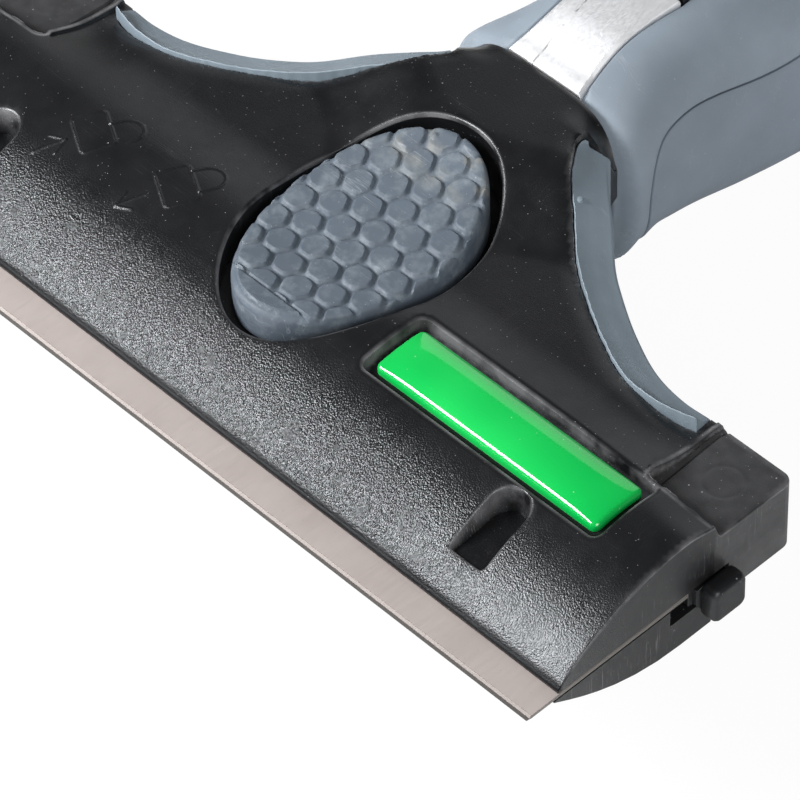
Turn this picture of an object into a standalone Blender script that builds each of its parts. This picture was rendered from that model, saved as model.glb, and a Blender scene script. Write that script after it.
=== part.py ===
"""Hand scraper: a wide steel blade in a two-part head on a rubber-clad handle.

X runs along the blade, Y from the cutting edge to the handle's end, and Z is up.
The head is drawn from a datum at the blade's top face, a little ahead of its back edge.
Every length is in metres.
"""
import math

import bmesh
import bpy
from mathutils import Matrix

# Driving dimensions of the whole tool
HEAD_WIDTH = 0.100
FIT_GAP = 0.0003
BLADE_GAP = 0.0002
OVERRUN = 0.002

# Blade
BLADE_EDGE_Y = -0.018
BLADE_DEPTH = 0.0203
BLADE_THICKNESS = 0.0004
BLADE_BEVEL = 0.0006

# Upper shell: a profile along Y that is carried along X
LIP_Y = -0.0141
LIP_HEIGHT = 0.0004
CREST_Y = 0.0024
CREST_HEIGHT = 0.0070
WAIST_Y = 0.011
WAIST_HEIGHT = 0.0060
NECK_RISE_Y = 0.0075
NECK_RISE_LAG = 0.0115
NECK_TOP_Y = 0.0248
NECK_TOP_LAG = 0.0062
NECK_CROWN_WIDTH = 0.018
NECK_HEIGHT = 0.0098
NECK_END_Y = 0.0338
SHOULDER_START_Y = 0.0300
SHOULDER_INNER_X = 0.0049
SHOULDER_WIDTH = 0.0040
SHOULDER_DROP = 0.0034
EAR_DROP_START_Y = 0.0090
EAR_DROP_RUN = 0.0060
EAR_DROP = 0.0011

# Ears: flat blocks at both ends behind the dome
EAR_FRONT_Y = 0.0056
EAR_REAR_Y = 0.01595
EAR_TOP = 0.0046
EAR_BOTTOM = -0.0038
EAR_CORNER_RADIUS = 0.0012

# Lower shell
JAW_LIP_Y = -0.0146
JAW_LIP_DROP = 0.0001
KEEL_Y = 0.0013
KEEL_DEPTH = 0.0061
NECK_DEPTH = 0.0090
KEEL_SLOPE_START_Y = 0.0080
KEEL_SLOPE_END_Y = 0.0300
JAW_END_Y = 0.0053
LOWER_SIDE_INSET = 0.0005

# Thumb button in its egg-shaped pocket
BUTTON_X = 0.0010
BUTTON_Y = 0.0087
PAD_HALF_WIDTH = 0.0095
PAD_HALF_LENGTH = 0.0141
POCKET_GAP = 0.0012
PAD_TOP = 0.0067
PAD_DISH = 0.0018
PAD_TILT = 0.0010
PAD_ROUND = 0.0009
FLANGE_TOP = 0.0033
FLANGE_THICKNESS = 0.0014
FLANGE_FRONT_Y = -0.0068
FLANGE_REAR_Y = 0.0268
FLANGE_HALF_WIDTH = 0.0122
CORE_INSET = 0.0016
CORE_TOP = 0.0054
BUTTON_TRAVEL = 0.0015
STEM_WIDTH = 0.0060
STEM_FRONT_Y = 0.0082
STEM_DEPTH_Y = 0.0034
HEX_PITCH_Y = 0.00336
HEX_PITCH_X = 0.00291
HEX_OFFSET_X = -0.0016
HEX_OFFSET_Y = -0.0008
HEX_RADIUS = 0.00166
HEX_TOP_RADIUS = 0.00137
HEX_HEIGHT = 0.00035
HEX_SINK = 0.0004
HEX_EDGE = 0.0006
HEX_FRONT_Y = -0.0020

# Blade carriage: a bar behind the blade with a knob at each end
BAR_FRONT_Y = 0.0026
BAR_DEPTH_Y = 0.0046
BAR_TOP = -0.0001
BAR_HEIGHT = 0.0021
BAR_NOTCH_HEIGHT = 0.0010
BAR_TRAVEL = 0.0023
KNOB_LENGTH = 0.0020
KNOB_FRONT_Y = 0.0034
KNOB_DEPTH_Y = 0.0042
KNOB_TOP = 0.0006
KNOB_BOTTOM = -0.0035
KNOB_BEVEL = 0.0006

# Clamp plate and its cranked arm
PLATE_THICKNESS = 0.0010
PLATE_FRONT_Y = -0.0060
PLATE_BACK_Y = -0.0004
ARM_HALF_WIDTH = 0.0045
ARM_BACK_Y = 0.0125

# Return spring
SPRING_Y = 0.0172
SPRING_RADIUS = 0.0024
SPRING_WIRE = 0.0006
SPRING_TURNS = 5

# Badge and finger notches in the dome
BADGE_LEFT_X = 0.0131
BADGE_LENGTH = 0.0303
BADGE_FRONT_Y = -0.0028
BADGE_DEPTH_Y = 0.0082
BADGE_RECESS_DEPTH = 0.0013
BADGE_EDGE_DEPTH = 0.0004
BADGE_MARGIN = 0.0011
BADGE_CORNER = 0.0009
BADGE_RISE = 0.0005
NOTCH_WIDTH = 0.0042
NOTCH_REAR_Y = -0.0032
NOTCH_FRONT_Y = -0.0106
NOTCH_FLOOR = 0.0033

# Flank grips: bands of rubber along the concave sides
FLANK_BAND = 0.0036
FLANK_TOP_OUTER = 0.0049
FLANK_TOP_RISE = 0.0014
FLANK_THICKNESS = 0.0016
FLANK_BOTTOM = -0.0032
FLANK_NECK_LIFT = 0.0026
FLANK_PROUD = 0.0001
FLANK_ROUND = 0.0004

# Screws
SCREW_RADIUS = 0.0011
SCREW_HEAD_RADIUS = 0.0022
SCREW_HEAD_HEIGHT = 0.0014
SCREW_LENGTH = 0.0080
SCREW_SLOT = 0.0007
SCREW_SINK = 0.0022
SHELL_SCREW_Y = 0.0112
NECK_SCREW_X = 0.0172
NECK_SCREW_Y = 0.0180
CLAMP_SCREW_LENGTH = 0.0036
CLAMP_HEAD_HEIGHT = 0.0007
HANDLE_SCREW_X = 0.0038
HANDLE_SCREW_Y = 0.0306

# Handle
HANDLE_START_Y = 0.0341
HANDLE_END_Y = 0.1990
HANDLE_WIDTH = 0.0300
HANDLE_HEIGHT = 0.0300
GRIP_WALL = 0.0022
GRIP_PROUD = 0.0004
SEAM_GAP = 0.0003
STRIP_WIDTH = 0.0097
STRIP_THICKNESS = 0.0012
STRIP_RISE = 0.0001
STRIP_PINCH = 0.0006
STRIP_END_Y = 0.0478
INSERT_END_Y = 0.0640
TONGUE_WIDTH = 0.0120
TONGUE_START_Y = 0.0276
TONGUE_TOP = 0.0046
TONGUE_BOTTOM = -0.0052
SOCKET_WALL = 0.0045
SOCKET_TAPER = 0.0013
SOCKET_DEPTH = 0.0700
COLLAR_LENGTH = 0.0040
COLLAR_INSET = 0.0001

# Places along the head in shares of half its width, from its middle
EAR_DROP_SHARE = 0.66
EAR_INNER_SHARE = 0.818
NOTCH_SHARE = 0.698
SHELL_SCREW_SHARE = 0.66
PLATE_END_SHARE = 0.88
STATION_SHARES = (0.0, 0.09, 0.14, 0.19, 0.25, 0.32, 0.40, 0.50, 0.62, 0.71, 0.77, 0.84, 0.92, 1.02)
# Rows of the dome and of the jaw in shares of their depth, from the lip
DOME_SHARES = (0.0, 0.03, 0.08, 0.16, 0.26, 0.38, 0.52, 0.68, 0.84)
JAW_SHARES = (0.0, 0.05, 0.12, 0.22, 0.34, 0.48, 0.64, 0.82)
# Round edge of the pad: inset and drop in shares of its radius
PAD_EDGE_SHARES = (
    (0.0, 1.0), (0.1, 0.45), (0.4, 0.12), (1.0, 0.0), (3.0, 0.0), (6.0, 0.0), (8.0, 0.0), (10.0, 0.0),
)
# Flank outline in shares of half the head's width and of the neck's length from the datum
FLANK_SHARES = (
    (0.790, 0.477), (0.718, 0.474), (0.636, 0.497), (0.544, 0.559), (0.452, 0.639),
    (0.398, 0.695), (0.330, 0.787), (0.266, 0.867), (0.222, 0.932), (0.203, 1.000),
)
# Handle sections: share of length, then half width, top, middle and bottom as shares
HANDLE_SHARES = (
    (0.000, 0.660, 0.326, -0.017, -0.420),
    (0.005, 0.765, 0.337, -0.020, -0.420),
    (0.012, 0.795, 0.350, -0.025, -0.362),
    (0.026, 0.787, 0.380, -0.043, -0.318),
    (0.042, 0.770, 0.407, -0.067, -0.334),
    (0.068, 0.747, 0.430, -0.100, -0.375),
    (0.110, 0.747, 0.455, -0.115, -0.455),
    (0.160, 0.790, 0.473, -0.120, -0.500),
    (0.240, 0.850, 0.485, -0.115, -0.535),
    (0.340, 0.895, 0.480, -0.105, -0.540),
    (0.450, 0.900, 0.462, -0.085, -0.505),
    (0.570, 0.885, 0.450, -0.060, -0.465),
    (0.700, 0.895, 0.455, -0.035, -0.450),
    (0.820, 0.930, 0.470, -0.015, -0.465),
    (0.920, 0.965, 0.482, -0.005, -0.482),
    (1.000, 0.975, 0.487, 0.000, -0.487),
)
# Seam on the handle's side: share of length and height as a share of the handle's height
SEAM_SHARES = (
    (0.0158, -0.300), (0.0149, -0.183), (0.0145, -0.098), (0.0152, -0.022), (0.0180, 0.055),
    (0.0220, 0.104), (0.0262, 0.136), (0.0310, 0.158), (0.0380, 0.173), (0.0478, 0.179),
    (0.0592, 0.177), (0.0702, 0.169), (0.0828, 0.155), (0.0954, 0.138), (0.1084, 0.122),
    (0.1200, 0.112), (0.1330, 0.107), (0.1500, 0.109), (0.2400, 0.120), (1.0000, 0.120),
)
HANDLE_UPPER_POWER = 2.6
HANDLE_LOWER_POWER = 2.8
DOME_POWER = 0.9
KEEL_POWER = 1.05
EGG_SHARE = -0.05


def half_width():
    """Half the head's width."""
    return HEAD_WIDTH / 2


def ear_inner_x():
    """X place of the right ear's inner side."""
    return EAR_INNER_SHARE * half_width()


def head_collection():
    """Clear the scene and return the collections for the parts and for the cutters."""
    for item in list(bpy.data.objects):
        bpy.data.objects.remove(item, do_unlink=True)
    parts = bpy.data.collections.new("hand_scraper")
    cutters = bpy.data.collections.new("cutters")
    bpy.context.scene.collection.children.link(parts)
    bpy.context.scene.collection.children.link(cutters)
    return parts, cutters


PARTS, CUTTERS = head_collection()


def z_lowest():
    """Height of the handle's lowest point, which stands on the floor."""
    return min(row[4] for row in HANDLE_SHARES) * HANDLE_HEIGHT - GRIP_PROUD


def make_frame():
    """Return the empty that carries every piece, placed so that the tool stands on Z = 0."""
    frame = bpy.data.objects.new("scraper_frame", None)
    PARTS.objects.link(frame)
    back = HANDLE_END_Y + FIT_GAP + COLLAR_LENGTH
    frame.location = (0.0, -(BLADE_EDGE_Y + back) / 2, -z_lowest())
    return frame


FRAME = make_frame()


def make_material(name, colour, roughness, metallic=0.0):
    """Return a Principled material."""
    material = bpy.data.materials.new(name)
    material.use_nodes = True
    shader = material.node_tree.nodes["Principled BSDF"]
    shader.inputs["Base Color"].default_value = (*colour, 1.0)
    shader.inputs["Roughness"].default_value = roughness
    shader.inputs["Metallic"].default_value = metallic
    material.diffuse_color = (*colour, 1.0)
    return material


def add_object(name, mesh, collection):
    """Link a mesh as a new object carried by the frame."""
    item = bpy.data.objects.new(name, mesh)
    collection.objects.link(item)
    item.parent = FRAME
    return item


def as_part(item, colour, roughness, metallic=0.0):
    """Give a part its own material."""
    item.data.materials.clear()
    item.data.materials.append(make_material(item.name + "_finish", colour, roughness, metallic))
    return item


def as_cutter(item):
    """Hide a cutter from renders and draw it as wire."""
    item.hide_render = True
    item.display_type = "WIRE"
    return item


def boolean(item, other, operation):
    """Add an exact Boolean modifier."""
    modifier = item.modifiers.new(operation.title(), "BOOLEAN")
    modifier.object = other
    modifier.operation = operation
    modifier.solver = "EXACT"
    return item


def cut(item, *others):
    """Cut the other objects out of an object."""
    for other in others:
        boolean(item, other, "DIFFERENCE")
    return item


def join(item, *others):
    """Fuse the other objects with an object."""
    for other in others:
        boolean(item, other, "UNION")
    return item


def smooth_round_faces(mesh, degrees=35):
    """Shade a mesh smooth with its corners kept sharp."""
    mesh.shade_smooth()
    mesh.set_sharp_from_angle(angle=math.radians(degrees))


def loft(name, rings, collection=None, triangles=False):
    """Skin equal rings of points and cap both ends, with the skin in triangles where it's twisted."""
    bm = bmesh.new()
    rows = [[bm.verts.new(point) for point in ring] for ring in rings]
    count = len(rows[0])
    for first, second in zip(rows, rows[1:]):
        for index in range(count):
            after = (index + 1) % count
            bm.faces.new((first[index], first[after], second[after], second[index]))
    bm.faces.new(rows[0])
    bm.faces.new(rows[-1])
    bmesh.ops.recalc_face_normals(bm, faces=bm.faces)
    if triangles:
        bmesh.ops.triangulate(bm, faces=bm.faces)
    mesh = bpy.data.meshes.new(name)
    bm.to_mesh(mesh)
    bm.free()
    smooth_round_faces(mesh)
    return add_object(name, mesh, collection or PARTS)


def outline_plate(name, outline, low, high, collection=None):
    """Extrude a flat outline in X and Y between two heights."""
    curve = bpy.data.curves.new(name, "CURVE")
    curve.dimensions = "2D"
    curve.fill_mode = "BOTH"
    curve.extrude = (high - low) / 2
    spline = curve.splines.new("POLY")
    spline.points.add(len(outline) - 1)
    for point, (x, y) in zip(spline.points, outline):
        point.co = (x, y, 0.0, 1.0)
    spline.use_cyclic_u = True
    guide = add_object(name + "_curve", curve, CUTTERS)
    bpy.context.view_layer.update()
    evaluated = guide.evaluated_get(bpy.context.evaluated_depsgraph_get())
    mesh = bpy.data.meshes.new_from_object(evaluated)
    bpy.data.objects.remove(guide, do_unlink=True)
    bm = bmesh.new()
    bm.from_mesh(mesh)
    bmesh.ops.remove_doubles(bm, verts=bm.verts, dist=FIT_GAP / 100)
    bmesh.ops.translate(bm, verts=bm.verts, vec=(0.0, 0.0, (high + low) / 2))
    bmesh.ops.recalc_face_normals(bm, faces=bm.faces)
    bm.to_mesh(mesh)
    bm.free()
    mesh.name = name
    smooth_round_faces(mesh)
    return add_object(name, mesh, collection or PARTS)


def block(name, low, high, collection=None):
    """Return a box between two corners, drawn about its own middle."""
    bm = bmesh.new()
    bmesh.ops.create_cube(bm, size=1.0)
    size = [upper - lower for lower, upper in zip(low, high)]
    bmesh.ops.scale(bm, vec=size, verts=bm.verts)
    mesh = bpy.data.meshes.new(name)
    bm.to_mesh(mesh)
    bm.free()
    item = add_object(name, mesh, collection or PARTS)
    item.location = [(upper + lower) / 2 for lower, upper in zip(low, high)]
    return item


def cylinder(name, radius, x, y, low, high, segments=20, collection=None):
    """Return an upright cylinder."""
    bm = bmesh.new()
    bmesh.ops.create_cone(
        bm, cap_ends=True, segments=segments, radius1=radius, radius2=radius, depth=high - low
    )
    mesh = bpy.data.meshes.new(name)
    bm.to_mesh(mesh)
    bm.free()
    smooth_round_faces(mesh)
    item = add_object(name, mesh, collection or PARTS)
    item.location = (x, y, (low + high) / 2)
    return item


def turned(name, profile, segments, collection=None):
    """Turn a profile of radii and heights, listed from top to bottom, about its own Z axis."""
    bm = bmesh.new()
    points = [bm.verts.new((radius, 0.0, z)) for radius, z in profile]
    for first, second in zip(points, points[1:]):
        bm.edges.new((first, second))
    mesh = bpy.data.meshes.new(name)
    bm.to_mesh(mesh)
    bm.free()
    item = add_object(name, mesh, collection or PARTS)
    screw = item.modifiers.new("Turn", "SCREW")
    screw.steps = segments
    screw.render_steps = segments
    screw.use_merge_vertices = True
    screw.merge_threshold = FIT_GAP / 30
    return item


def ease(value):
    """Blend from 0 to 1 with level ends."""
    value = min(max(value, 0.0), 1.0)
    return value * value * (3 - 2 * value)


def steps(start, end, count):
    """Return evenly spaced values, both ends included."""
    return [start + (end - start) * index / (count - 1) for index in range(count)]


def arch(share, power):
    """Rise of a dome from 0 at its lip to 1 at its crest."""
    share = min(max(share, 0.0), 1.0)
    return (1 - (1 - share) ** 2) ** power


def neck_rise(x, y):
    """Rise of the neck from 0 to 1, later towards the sides."""
    lag = ease(abs(x) / NECK_CROWN_WIDTH)
    start = NECK_RISE_Y + NECK_RISE_LAG * lag
    end = NECK_TOP_Y + NECK_TOP_LAG * lag
    return ease((y - start) / (end - start))


def top_height(x, y):
    """Height of the head's upper surface."""
    share = (y - LIP_Y) / (CREST_Y - LIP_Y)
    height = LIP_HEIGHT + (CREST_HEIGHT - LIP_HEIGHT) * arch(share, DOME_POWER)
    if y > CREST_Y:
        height -= (CREST_HEIGHT - WAIST_HEIGHT) * ease((y - CREST_Y) / (WAIST_Y - CREST_Y))
    height += (NECK_HEIGHT - WAIST_HEIGHT) * neck_rise(x, y)
    aside = max((abs(x) - SHOULDER_INNER_X) / SHOULDER_WIDTH, 0.0)
    behind = (y - SHOULDER_START_Y) / (NECK_END_Y - SHOULDER_START_Y)
    height -= SHOULDER_DROP * min(aside, 1.5) * ease(behind)
    drop_start = EAR_DROP_SHARE * half_width()
    out = (abs(x) - drop_start) / (ear_inner_x() - drop_start)
    height -= EAR_DROP * ease(out) * ease((y - EAR_DROP_START_Y) / EAR_DROP_RUN)
    return height


def bottom_height(y):
    """Height of the head's underside."""
    share = (y - JAW_LIP_Y) / (KEEL_Y - JAW_LIP_Y)
    lip = -BLADE_THICKNESS - BLADE_GAP - JAW_LIP_DROP
    height = lip + (-KEEL_DEPTH - lip) * arch(share, KEEL_POWER)
    fall = ease((y - KEEL_SLOPE_START_Y) / (KEEL_SLOPE_END_Y - KEEL_SLOPE_START_Y))
    return height - (NECK_DEPTH - KEEL_DEPTH) * fall


def arc(centre_x, centre_y, radius, start, end, count):
    """Return points on an arc, with its angles in degrees."""
    return [
        (centre_x + radius * math.cos(math.radians(a)), centre_y + radius * math.sin(math.radians(a)))
        for a in steps(start, end, count)
    ]


def flank_curve():
    """Return the right flank from the ear to the neck, seen from above."""
    return [(x * half_width(), y * NECK_END_Y) for x, y in FLANK_SHARES]


def head_outline(front_y):
    """Return the head's outline from above."""
    radius = EAR_CORNER_RADIUS
    right = [(half_width(), front_y)]
    right += arc(half_width() - radius, EAR_REAR_Y - radius, radius, 0, 90, 5)
    right += [(ear_inner_x(), EAR_REAR_Y)]
    right += flank_curve()
    left = [(-x, y) for x, y in reversed(right)]
    return right + left


def jaw_outline():
    """Return the lower shell's outline: full width in front, between the ears behind."""
    inner = ear_inner_x() - FIT_GAP
    right = [(half_width(), JAW_LIP_Y - OVERRUN), (half_width(), JAW_END_Y), (inner, JAW_END_Y)]
    right += [(inner, EAR_REAR_Y - LOWER_SIDE_INSET)]
    right += [(x - LOWER_SIDE_INSET, y - LOWER_SIDE_INSET) for x, y in flank_curve()]
    left = [(-x, y) for x, y in reversed(right)]
    return right + left


def egg(half_wide, half_long, centre_x, centre_y, count=40):
    """Return an egg-shaped outline, blunter behind."""
    points = []
    for index in range(count):
        angle = 2 * math.pi * index / count
        along = math.sin(angle)
        wide = half_wide * math.cos(angle) * (1 - EGG_SHARE * along)
        points.append((centre_x + wide, centre_y + half_long * along))
    return points


def rounded_rectangle(left, right, front, rear, radius, count=5):
    """Return a rectangle with round corners."""
    points = arc(right - radius, rear - radius, radius, 0, 90, count)
    points += arc(left + radius, rear - radius, radius, 90, 180, count)
    points += arc(left + radius, front + radius, radius, 180, 270, count)
    points += arc(right - radius, front + radius, radius, 270, 360, count)
    return points


def shell_stations():
    """Return the X places where the upper shell's section is drawn."""
    right = [share * half_width() for share in STATION_SHARES]
    return [-x for x in reversed(right[1:])] + right


def shell_rows():
    """Return the Y places where the upper shell's surface is sampled."""
    dome = [LIP_Y + (CREST_Y - LIP_Y) * s for s in DOME_SHARES]
    waist = steps(CREST_Y, WAIST_Y, 5)
    neck = steps(WAIST_Y, NECK_END_Y, 13)[1:]
    return dome + waist + neck + [NECK_END_Y + OVERRUN]


def make_upper_solid():
    """Return the upper shell's outer form with the ears, before its hollows are cut."""
    rows = shell_rows()
    rings = []
    for x in shell_stations():
        ring = [(x, y, top_height(x, y)) for y in rows]
        ring += [(x, rows[-1], BLADE_GAP), (x, rows[0], BLADE_GAP)]
        rings.append(ring)
    shell = loft("upper_shell", rings, PARTS, True)
    for name, side in (("left", -1), ("right", 1)):
        ends = sorted((side * ear_inner_x(), side * (half_width() + OVERRUN)))
        low = (ends[0], EAR_FRONT_Y, EAR_BOTTOM)
        high = (ends[1], EAR_REAR_Y + OVERRUN, EAR_TOP - FIT_GAP)
        join(shell, as_cutter(block("ear_block_" + name, low, high, CUTTERS)))
    outline = head_outline(LIP_Y - OVERRUN)
    trim = outline_plate("head_trim", outline, EAR_BOTTOM - OVERRUN, NECK_HEIGHT + OVERRUN, CUTTERS)
    boolean(shell, as_cutter(trim), "INTERSECT")
    return shell


def ear_step_cutter(side):
    """Return the cutter that lowers one ear to its flat top."""
    inner = ear_inner_x()
    outer = half_width() + OVERRUN
    rear = EAR_REAR_Y + OVERRUN
    outline = [(inner, EAR_FRONT_Y), (outer, EAR_FRONT_Y), (outer, rear), (inner, rear)]
    outline = [(side * x, y) for x, y in outline]
    name = "ear_step_right" if side > 0 else "ear_step_left"
    return as_cutter(outline_plate(name, outline, EAR_TOP, CREST_HEIGHT + OVERRUN, CUTTERS))


def notch_cutter(side):
    """Return the cutter of one finger notch: round behind, running out in front."""
    middle = NOTCH_SHARE * half_width()
    half = NOTCH_WIDTH / 2
    corner = half / 3
    points = arc(middle, NOTCH_REAR_Y - half, half, 0, 180, 9)
    points += arc(middle - half + corner, NOTCH_FRONT_Y + corner, corner, 180, 270, 4)
    points += arc(middle + half - corner, NOTCH_FRONT_Y + corner, corner, 270, 360, 4)
    points = [(side * x, y) for x, y in points]
    name = "notch_right" if side > 0 else "notch_left"
    return as_cutter(outline_plate(name, points, NOTCH_FLOOR, CREST_HEIGHT + OVERRUN, CUTTERS))


def dome_slab(name, margin, low_offset, high_offset, crown, collection):
    """Return a slab that follows the dome inside the badge's place."""
    left = BADGE_LEFT_X + margin
    right = BADGE_LEFT_X + BADGE_LENGTH - margin
    front = BADGE_FRONT_Y + margin
    rear = BADGE_FRONT_Y + BADGE_DEPTH_Y - margin
    rings = []
    for x in steps(left - OVERRUN, right + OVERRUN, 9):
        rows = steps(front - OVERRUN, rear + OVERRUN, 9)
        across = 1 - abs(2 * (x - left) / (right - left) - 1) ** 6
        upper = []
        for y in rows:
            along = 1 - abs(2 * (y - front) / (rear - front) - 1) ** 4
            lift = crown * min(max(across, 0.0), max(along, 0.0))
            upper.append((x, y, top_height(x, y) + high_offset + lift))
        lower = [(x, y, top_height(x, y) + low_offset) for y in reversed(rows)]
        rings.append(upper + lower)
    slab = loft(name, rings, collection)
    outline = rounded_rectangle(left, right, front, rear, BADGE_CORNER)
    trim = outline_plate(name + "_trim", outline, 0.0, NECK_HEIGHT + OVERRUN, CUTTERS)
    return boolean(slab, as_cutter(trim), "INTERSECT")


def flank_ring(point, normal, lift, spare):
    """Return one section of a flank grip, grown by a spare amount for its recess."""
    outer = -FLANK_PROUD
    inner = FLANK_THICKNESS + spare
    band = FLANK_BAND + spare
    low = FLANK_BOTTOM - spare
    edge = FLANK_TOP_OUTER + lift
    under = [(band, edge - FLANK_THICKNESS / 2 - spare), (inner, edge - FLANK_THICKNESS - spare), (inner, low)]
    if spare:
        outer -= OVERRUN
        top = NECK_HEIGHT + OVERRUN
        shape = [(outer, low), (outer, top), (band, top)]
    else:
        shape = [(outer, low), (outer, edge - FLANK_TOP_RISE), (outer + FLANK_ROUND, edge - FLANK_ROUND)]
        shape += [(FLANK_THICKNESS, edge), (band, edge + FLANK_TOP_RISE - FLANK_ROUND)]
    return [(point[0] + normal[0] * d, point[1] + normal[1] * d, z) for d, z in shape + under]


def flank_rings(side, spare):
    """Return the sections of a flank grip along the flank."""
    curve = flank_curve()
    last = [(first + second) / 2 for first, second in zip(curve[-1], curve[-2])]
    curve = curve[:-1] + [last]
    rings = []
    for index, (x, y) in enumerate(curve):
        before = curve[max(index - 1, 0)]
        after = curve[min(index + 1, len(curve) - 1)]
        run = (after[0] - before[0], after[1] - before[1])
        length = math.hypot(*run)
        normal = (run[1] / length, -run[0] / length)
        if normal[1] > 0:
            normal = (-normal[0], -normal[1])
        lift = FLANK_NECK_LIFT * neck_rise(NECK_CROWN_WIDTH, y)
        ring = flank_ring((x, y), normal, lift, spare)
        rings.append([(side * px, py, pz) for px, py, pz in ring])
    return rings


def flank_grip(side):
    """Return one flank grip and the cutter of its recess."""
    name = "right_flank_grip" if side > 0 else "left_flank_grip"
    grip = loft(name, flank_rings(side, 0.0))
    recess = as_cutter(loft(name + "_recess", flank_rings(side, FIT_GAP), CUTTERS))
    return as_part(grip, (0.13, 0.16, 0.19), 0.6), recess


def add_screw(name, x, y, head_z, length, head_height):
    """Add an upright screw whose head faces down, with a cross slot in it."""
    tip = head_height + length
    profile = [(0.0, tip), (SCREW_RADIUS / 2, tip), (SCREW_RADIUS, tip - SCREW_RADIUS)]
    profile += [(SCREW_RADIUS, head_height), (SCREW_HEAD_RADIUS, head_height)]
    profile += [(SCREW_HEAD_RADIUS, head_height / 3), (SCREW_HEAD_RADIUS * 0.8, 0.0), (0.0, 0.0)]
    screw = turned(name, profile, 16)
    screw.location = (x, y, head_z)
    reach = SCREW_HEAD_RADIUS * 0.6
    half = SCREW_SLOT / 2
    deep = head_z + head_height * 0.6
    low = head_z - OVERRUN
    wide = block(name + "_slot_wide", (x - reach, y - half, low), (x + reach, y + half, deep), CUTTERS)
    tall = block(name + "_slot_tall", (x - half, y - reach, low), (x + half, y + reach, deep), CUTTERS)
    cut(screw, as_cutter(wide), as_cutter(tall))
    return as_part(screw, (0.45, 0.45, 0.46), 0.35, 1.0)


def screw_holes(item, name, places, low, high, radius):
    """Cut upright holes into a shell."""
    for index, (x, y) in enumerate(places):
        hole = cylinder(f"{name}_{index}", radius, x, y, low, high, 16, CUTTERS)
        cut(item, as_cutter(hole))
    return item


def shell_screw_places():
    """Return the X and Y places of the four screws that close the head."""
    places = [(SHELL_SCREW_SHARE * half_width(), SHELL_SCREW_Y), (NECK_SCREW_X, NECK_SCREW_Y)]
    return places + [(-x, y) for x, y in places]


def handle_screw_places():
    """Return the X and Y places of the two screws in the tongue."""
    return [(HANDLE_SCREW_X, HANDLE_SCREW_Y), (-HANDLE_SCREW_X, HANDLE_SCREW_Y)]


def seat_height(y):
    """Height of a screw head's outer face, sunk into the underside."""
    return bottom_height(y) + SCREW_SINK - SCREW_HEAD_HEIGHT


def cavity_outline(spare):
    """Return the outline of the button's flange, grown by a spare amount."""
    half_long = (FLANGE_REAR_Y - FLANGE_FRONT_Y) / 2 + spare
    centre = (FLANGE_REAR_Y + FLANGE_FRONT_Y) / 2
    return egg(FLANGE_HALF_WIDTH + spare, half_long, BUTTON_X, centre)


def slot_cutter():
    """Return the bar's channel, open at both ends of the head."""
    reach = half_width() + OVERRUN
    low = (-reach, BAR_FRONT_Y - BAR_TRAVEL - FIT_GAP, BAR_TOP - BAR_HEIGHT - FIT_GAP)
    high = (reach, BAR_FRONT_Y + BAR_DEPTH_Y + FIT_GAP, BLADE_GAP + FIT_GAP)
    return as_cutter(block("bar_channel", low, high, CUTTERS))


def tongue_cutter():
    """Return the space for the handle's tongue in the neck."""
    half = TONGUE_WIDTH / 2 + FIT_GAP
    low = (-half, TONGUE_START_Y - FIT_GAP, TONGUE_BOTTOM - FIT_GAP)
    high = (half, NECK_END_Y + OVERRUN * 2, TONGUE_TOP + FIT_GAP)
    return as_cutter(block("tongue_space", low, high, CUTTERS))


def make_upper_shell(channel, tongue_space, recesses):
    """Build the upper shell."""
    shell = make_upper_solid()
    cut(shell, ear_step_cutter(-1), ear_step_cutter(1), notch_cutter(-1), notch_cutter(1))
    badge_recess = dome_slab("badge_recess", 0.0, -BADGE_RECESS_DEPTH, OVERRUN, 0.0, CUTTERS)
    cut(shell, as_cutter(badge_recess))
    pocket = egg(PAD_HALF_WIDTH + POCKET_GAP, PAD_HALF_LENGTH + POCKET_GAP, BUTTON_X, BUTTON_Y)
    cut(shell, as_cutter(outline_plate("pocket", pocket, -OVERRUN, NECK_HEIGHT + OVERRUN, CUTTERS)))
    cavity = outline_plate("flange_space", cavity_outline(FIT_GAP), -OVERRUN, FLANGE_TOP + FIT_GAP, CUTTERS)
    cut(shell, as_cutter(cavity), channel, tongue_space, *recesses)
    top = seat_height(0.0) + SCREW_HEAD_HEIGHT + SCREW_LENGTH + OVERRUN / 2
    radius = SCREW_RADIUS + FIT_GAP
    screw_holes(shell, "upper_hole", shell_screw_places(), EAR_BOTTOM, top, radius)
    return as_part(shell, (0.012, 0.012, 0.013), 0.38)


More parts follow.
